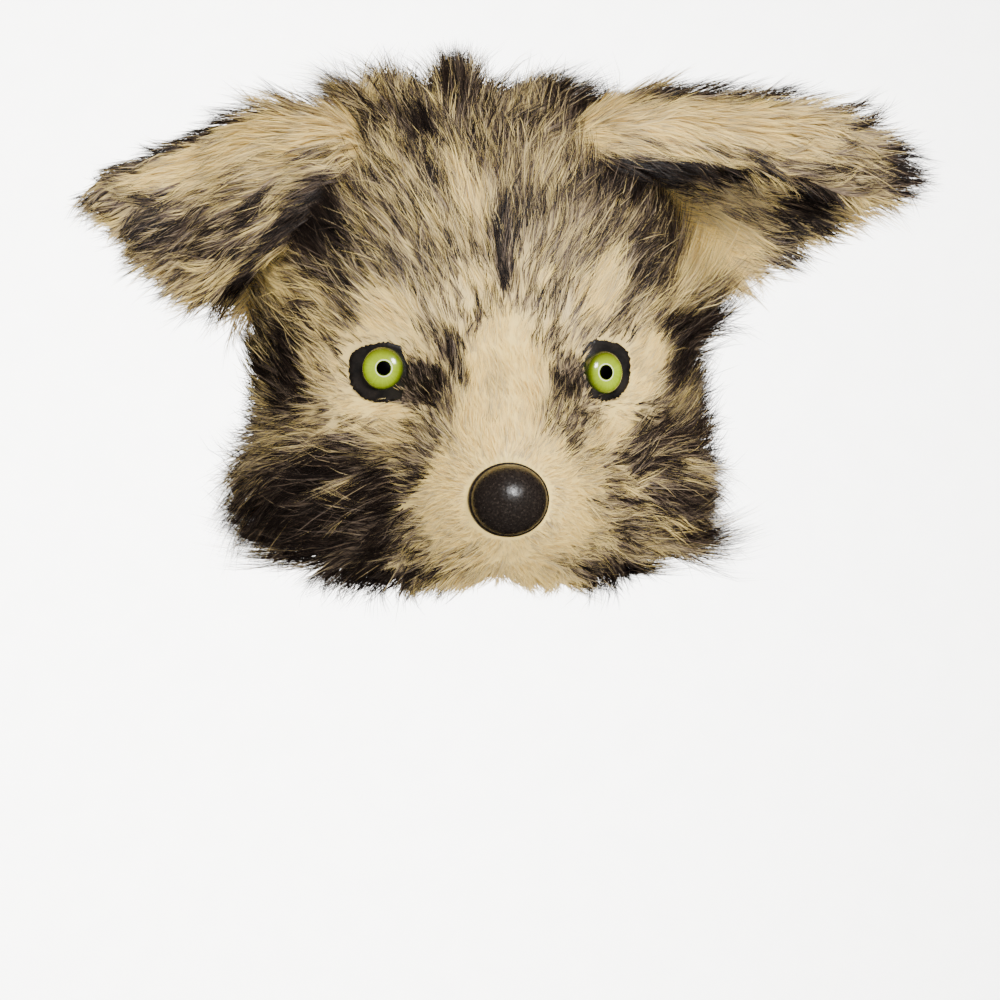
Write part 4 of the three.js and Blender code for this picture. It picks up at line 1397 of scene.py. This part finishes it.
class MASK_OT_eyes(bpy.types.Operator):
    """Make the moulded eyes and the black patches that they sit on"""

    bl_idname = "mask.eyes"
    bl_label = "Eyes"

    # SOLID: share of the thickness that is leatherette; INNER_DROP: share that the inner corner sinks by
    PATCH_SPOKES = 144
    PATCH_RINGS = 8
    PATCH_THICKNESS = 1.6 * MM
    PATCH_SOLID = 0.9
    PATCH_INNER_DROP = 0.9
    PATCH_MARGIN = 1.2 * MM
    PATCH_RAGGED = 0.3 * MM

    def execute(self, context):
        eyes = context.scene.mask_eyes
        tree = tree_of(face_skin())
        eye_look, patch_look = eye_material(eyes), patch_material()
        for eye in EYES:
            place = eye_frame(tree, eye)
            patch = add_object("patch_" + eye["side"], self.patch_mesh(eye, place, tree, eyes), patch_look)
            add_piece(patch, "eye_patch", "eye_patch_" + eye["side"])
            raised = place @ Matrix.Translation((0, 0, self.PATCH_THICKNESS))
            mesh = dome_mesh("dome_eye", eyes.width, eyes.width, eyes.depth, eyes.rim, raised, tree)
            self.set_gaze(mesh, eye["gaze"] * MM)
            dome = add_object("dome_eye_" + eye["side"], mesh, eye_look)
            dome.matrix_world = raised
            add_piece(dome, "eye", "eye_" + eye["side"])
        return {"FINISHED"}

    def set_gaze(self, mesh, right):
        """Stores where each point of a dome lies as seen from its pupil's middle."""
        from_pupil = mesh_arrays(mesh)[0] - np.array([right, 0, 0])
        gaze = mesh.attributes.new("gaze", "FLOAT_VECTOR", "POINT")
        gaze.data.foreach_set("vector", from_pupil.astype(np.float32).ravel())

    def patch_mesh(self, eye, place, tree, eyes):
        """Almond patch with a hand-cut edge, laid on the cloth; towards the nose it sinks under the pile."""
        outward = math.copysign(1, eye["x"])
        look = place.to_3x3() @ Vector((0, 0, 1))
        turns = np.linspace(0, 2 * math.pi, self.PATCH_SPOKES, endpoint=False)
        rng = np.random.default_rng(PATCH_SEED)
        margin = rng.normal(self.PATCH_MARGIN, self.PATCH_RAGGED, self.PATCH_SPOKES)
        across, up = patch_reach(turns, outward, eyes, margin)
        net = bmesh.new()

        def laid(x, y):
            start = place @ Vector((x, y - eye["patch_drop"] * MM, OPENING_DEPTH))
            spot, normal, _, _ = tree.ray_cast(start, -look)
            if spot is None:
                raise RuntimeError("the eye patch reaches past the face")
            sunk = self.PATCH_INNER_DROP * float(smooth_step(-x * outward / eyes.patch_outwards))
            return net.verts.new(spot + normal * self.PATCH_THICKNESS * (1 - sunk))

        middle = laid(0, 0)
        shares = np.arange(1, self.PATCH_RINGS + 1) / self.PATCH_RINGS
        rings = [[laid(x * share, y * share) for x, y in zip(across, up)] for share in shares]
        for i in range(self.PATCH_SPOKES):
            net.faces.new((middle, rings[0][i], rings[0][(i + 1) % self.PATCH_SPOKES]))
        join_rows(net, rings)
        bmesh.ops.recalc_face_normals(net, faces=net.faces)
        mesh = mesh_of(net, "eye_patch")
        if Vector(mesh.polygons[0].normal).dot(look) < 0:
            mesh.flip_normals()
        thickness = self.PATCH_THICKNESS * self.PATCH_SOLID
        return with_modifiers(mesh, ("SOLIDIFY", {"thickness": thickness, "offset": -1.0}))


class MASK_OT_nose(bpy.types.Operator):
    """Make the moulded nose"""

    bl_idname = "mask.nose"
    bl_label = "Nose"

    def execute(self, context):
        nose = context.scene.mask_nose
        tree = tree_of(face_skin())
        spot = seat_on(tree, NOSE_PLACE["x"], NOSE_PLACE["z"])
        place = Matrix.Translation(spot) @ Matrix.Rotation(math.radians(90), 4, "X")
        mesh = dome_mesh("dome_nose", nose.width, nose.height, nose.depth, nose.rim, place, tree, nose.flange)
        piece = add_object("dome_nose", mesh, nose_material(nose))
        piece.matrix_world = place
        add_piece(piece, "nose", "nose")
        return {"FINISHED"}


class MASK_OT_strap(bpy.types.Operator):
    """Make the woven elastic behind the head"""

    bl_idname = "mask.strap"
    bl_label = "Elastic"

    STEPS = 96
    HEIGHTS = (0, 0.5, 1)
    # Rows of stitches behind the band's ends, and the share of its width that they take. A stitch's points:
    # along as shares of its step, rise as shares of the thread's width
    SEAM_REACH = (2 * MM, 5 * MM, 8 * MM)
    SEAM_STITCHES = 6
    SEAM_SHARE = 0.8
    STITCH = table("along rise", (0.0, 0.0), (0.4, 0.5), (0.8, 0.0))

    def execute(self, context):
        cloth = context.scene.mask_cloth
        turns = np.linspace(0, math.pi, self.STEPS + 1)
        sideways = STRAP["half_wide"] * np.cos(turns)
        back = STRAP["front_y"] + (STRAP["back_y"] - STRAP["front_y"]) * np.sin(turns)
        line = np.stack([sideways, back], axis=1) * MM
        along = np.concatenate([[0], np.cumsum(np.linalg.norm(np.diff(line, axis=0), axis=1))])
        mesh = self.band_mesh(line, along, cloth)
        piece = add_object("elastic", mesh, elastic_material(cloth))
        add_piece(piece, "elastic", "head_strap")
        seams = add_object("elastic_seams", self.seams_mesh(tree_of(mesh), cloth), thread_material(cloth))
        add_piece(seams, "elastic", "head_strap")
        return {"FINISHED"}

    def band_mesh(self, line, along, cloth):
        """Upright band along a line, with a map of its length and width in metres."""
        net = bmesh.new()
        band = net.loops.layers.uv.new("band")
        rows, mapped = [], {}
        for share in self.HEIGHTS:
            level = STRAP["z"] * MM + cloth.strap_width * (share - 0.5)
            row = [net.verts.new((x, y, level)) for x, y in line]
            mapped.update((vertex, (reach, cloth.strap_width * share)) for vertex, reach in zip(row, along))
            rows.append(row)
        join_rows(net, rows, closed=False)
        for face in net.faces:
            for loop in face.loops:
                loop[band].uv = mapped[loop.vert]
        return with_modifiers(
            mesh_of(net, "elastic"), ("SOLIDIFY", {"thickness": cloth.strap_thickness, "offset": -1.0}))

    def seams_mesh(self, tree, cloth):
        """Stitches across both ends of the band, in rows."""
        stitches = []
        step = cloth.strap_width * self.SEAM_SHARE / self.SEAM_STITCHES
        low = STRAP["z"] * MM - cloth.strap_width * self.SEAM_SHARE / 2
        for side in (-1, 1):
            for reach in self.SEAM_REACH:
                back = STRAP["front_y"] * MM + reach
                for i in range(self.SEAM_STITCHES):
                    line = []
                    for point in self.STITCH:
                        start = Vector((0, back, low + (i + point["along"]) * step))
                        spot, _, _, _ = tree.ray_cast(start, Vector((side, 0, 0)))
                        line.append(spot - Vector((side * point["rise"] * cloth.thread_width, 0, 0)))
                    stitches.append(line)
        return thread_mesh("elastic_seams", stitches, cloth.thread_width)


class MASK_OT_stage(bpy.types.Operator):
    """Set up the pale floor, the softboxes and the camera of the front view"""

    bl_idname = "mask.stage"
    bl_label = "Stage"

    SENSOR = 36.0
    # Softboxes round the mask, in metres. One that isn't mirrored leaves no reflection in the gloss
    SOFTBOXES = table(
        "name place size power mirrored",
        ("key", (0.35, -2.1, 0.9), 0.6, "key_power", True),
        ("fill_left", (-1.8, -1.0, 0.1), 1.4, "fill_power", False),
        ("fill_right", (1.8, -1.0, 0.1), 1.4, "fill_power", False),
        ("top", (0, -0.1, 1.7), 1.2, "top_power", False),
        ("low", (0.2, -1.7, -1.2), 1.2, "low_power", False),
        ("back", (0.4, 2.0, 0.4), 1.4, "back_power", False),
    )
    WALL_LIGHT_SHARE = 0.6
    WALL_LIGHT_SIZE = 3.0
    FLOOR_SEGMENTS = 128

    def execute(self, context):
        stage = context.scene.mask_stage
        self.add_floor_and_backdrop(stage)
        for row in self.SOFTBOXES:
            power = getattr(stage, row["power"])
            self.add_softbox(row["name"], row["place"], VIEW_AIM, row["size"], power, row["mirrored"])
        wall = Vector((0, stage.wall_distance, 0))
        self.add_softbox(
            "wall_light", wall * self.WALL_LIGHT_SHARE, wall, self.WALL_LIGHT_SIZE, stage.wall_power, True)
        self.add_room(context, stage)
        self.add_camera(context)
        return {"FINISHED"}

    def floor_paint(self):
        # Matt emulsion paint: pale, with the faint mottle of a roller
        material, tree = add_material("matt_floor_paint")
        place = add_node(tree, "ShaderNodeTexCoord")
        mottle = add_node(tree, "ShaderNodeTexNoise", {
            "Vector": place.outputs["Object"], "Scale": grains(60)})
        colour = add_node(tree, "ShaderNodeValToRGB", {"Fac": mottle.outputs["Fac"]}, stops=[
            (0.3, linear("#ecebe8")), (0.7, linear("#f0efec"))])
        finish_material(tree, {"Base Color": colour.outputs["Color"], "Roughness": 0.9})
        return material

    def add_floor_and_backdrop(self, stage):
        """Pale floor below the mask and a backdrop behind it, which leave no reflection in the gloss."""
        material = self.floor_paint()
        disc, wall = bmesh.new(), bmesh.new()
        bmesh.ops.create_circle(disc, cap_ends=True, segments=self.FLOOR_SEGMENTS, radius=stage.floor_radius)
        bmesh.ops.create_grid(wall, x_segments=2, y_segments=2, size=stage.wall_distance)
        for name, net, place, tilt in (
            ("floor", disc, (0, 0, -stage.floor_drop), 0),
            ("backdrop", wall, (0, stage.wall_distance, 0), math.radians(90)),
        ):
            flat = add_object(name, mesh_of(net, name), material, smooth=False)
            flat.location = place
            flat.rotation_euler = (tilt, 0, 0)
            flat.visible_glossy = False

    def add_softbox(self, name, place, aim, size, power, mirrored):
        """Square light that looks at its aim."""
        light = bpy.data.lights.new(name, "AREA")
        light.shape = "SQUARE"
        light.size = size
        light.energy = power
        holder = bpy.data.objects.new(name, light)
        bpy.context.scene.collection.objects.link(holder)
        holder.location = place
        holder.rotation_euler = (Vector(aim) - Vector(place)).to_track_quat("-Z", "Y").to_euler()
        holder.visible_glossy = mirrored

    def add_room(self, context, stage):
        world = bpy.data.worlds.new("studio")
        context.scene.world = world
        world.use_nodes = True
        background = world.node_tree.nodes["Background"]
        background.inputs["Color"].default_value = (1, 1, 1, 1)
        background.inputs["Strength"].default_value = stage.sky
        world.cycles_visibility.glossy = False

    def add_camera(self, context):
        camera = bpy.data.cameras.new("front_view")
        camera.sensor_width = self.SENSOR
        camera.lens = self.SENSOR * VIEW_DISTANCE / VIEW_WIDTH
        holder = bpy.data.objects.new("front_view", camera)
        context.scene.collection.objects.link(holder)
        holder.location = VIEW_AIM + VIEW_TOWARDS * VIEW_DISTANCE
        holder.rotation_euler = (-VIEW_TOWARDS).to_track_quat("-Z", "Y").to_euler()
        context.scene.camera = holder


# Sidebar and registration

class MASK_PT_panel(bpy.types.Panel):
    """Pieces of the mask and their settings"""

    bl_idname = "MASK_PT_panel"
    bl_label = "Werewolf mask"
    bl_space_type = "VIEW_3D"
    bl_region_type = "UI"
    bl_category = "Mask"

    def draw(self, context):
        for name in SETTINGS:
            group = getattr(context.scene, name)
            box = self.layout.box()
            for row in type(group).__annotations__:
                box.prop(group, row)
        for operator in OPERATORS:
            self.layout.operator(operator.bl_idname)


SETTINGS = {
    "mask_fur": MaskFurSettings,
    "mask_eyes": MaskEyeSettings,
    "mask_nose": MaskNoseSettings,
    "mask_cloth": MaskClothSettings,
    "mask_stage": MaskStageSettings,
}
OPERATORS = [
    MASK_OT_backing, MASK_OT_face_fur, MASK_OT_ears, MASK_OT_eyes, MASK_OT_nose, MASK_OT_strap, MASK_OT_stage,
]


def register():
    for name, group in SETTINGS.items():
        bpy.utils.register_class(group)
        setattr(bpy.types.Scene, name, PointerProperty(type=group))
    for operator in OPERATORS:
        bpy.utils.register_class(operator)
    bpy.utils.register_class(MASK_PT_panel)


def unregister():
    bpy.utils.unregister_class(MASK_PT_panel)
    for operator in reversed(OPERATORS):
        bpy.utils.unregister_class(operator)
    for name, group in SETTINGS.items():
        delattr(bpy.types.Scene, name)
        bpy.utils.unregister_class(group)


def main():
    register()
    bpy.ops.mask.backing()
    bpy.ops.mask.face_fur()
    bpy.ops.mask.ears()
    bpy.ops.mask.eyes()
    bpy.ops.mask.nose()
    bpy.ops.mask.strap()
    bpy.ops.mask.stage()


if __name__ == "__main__":
    main()
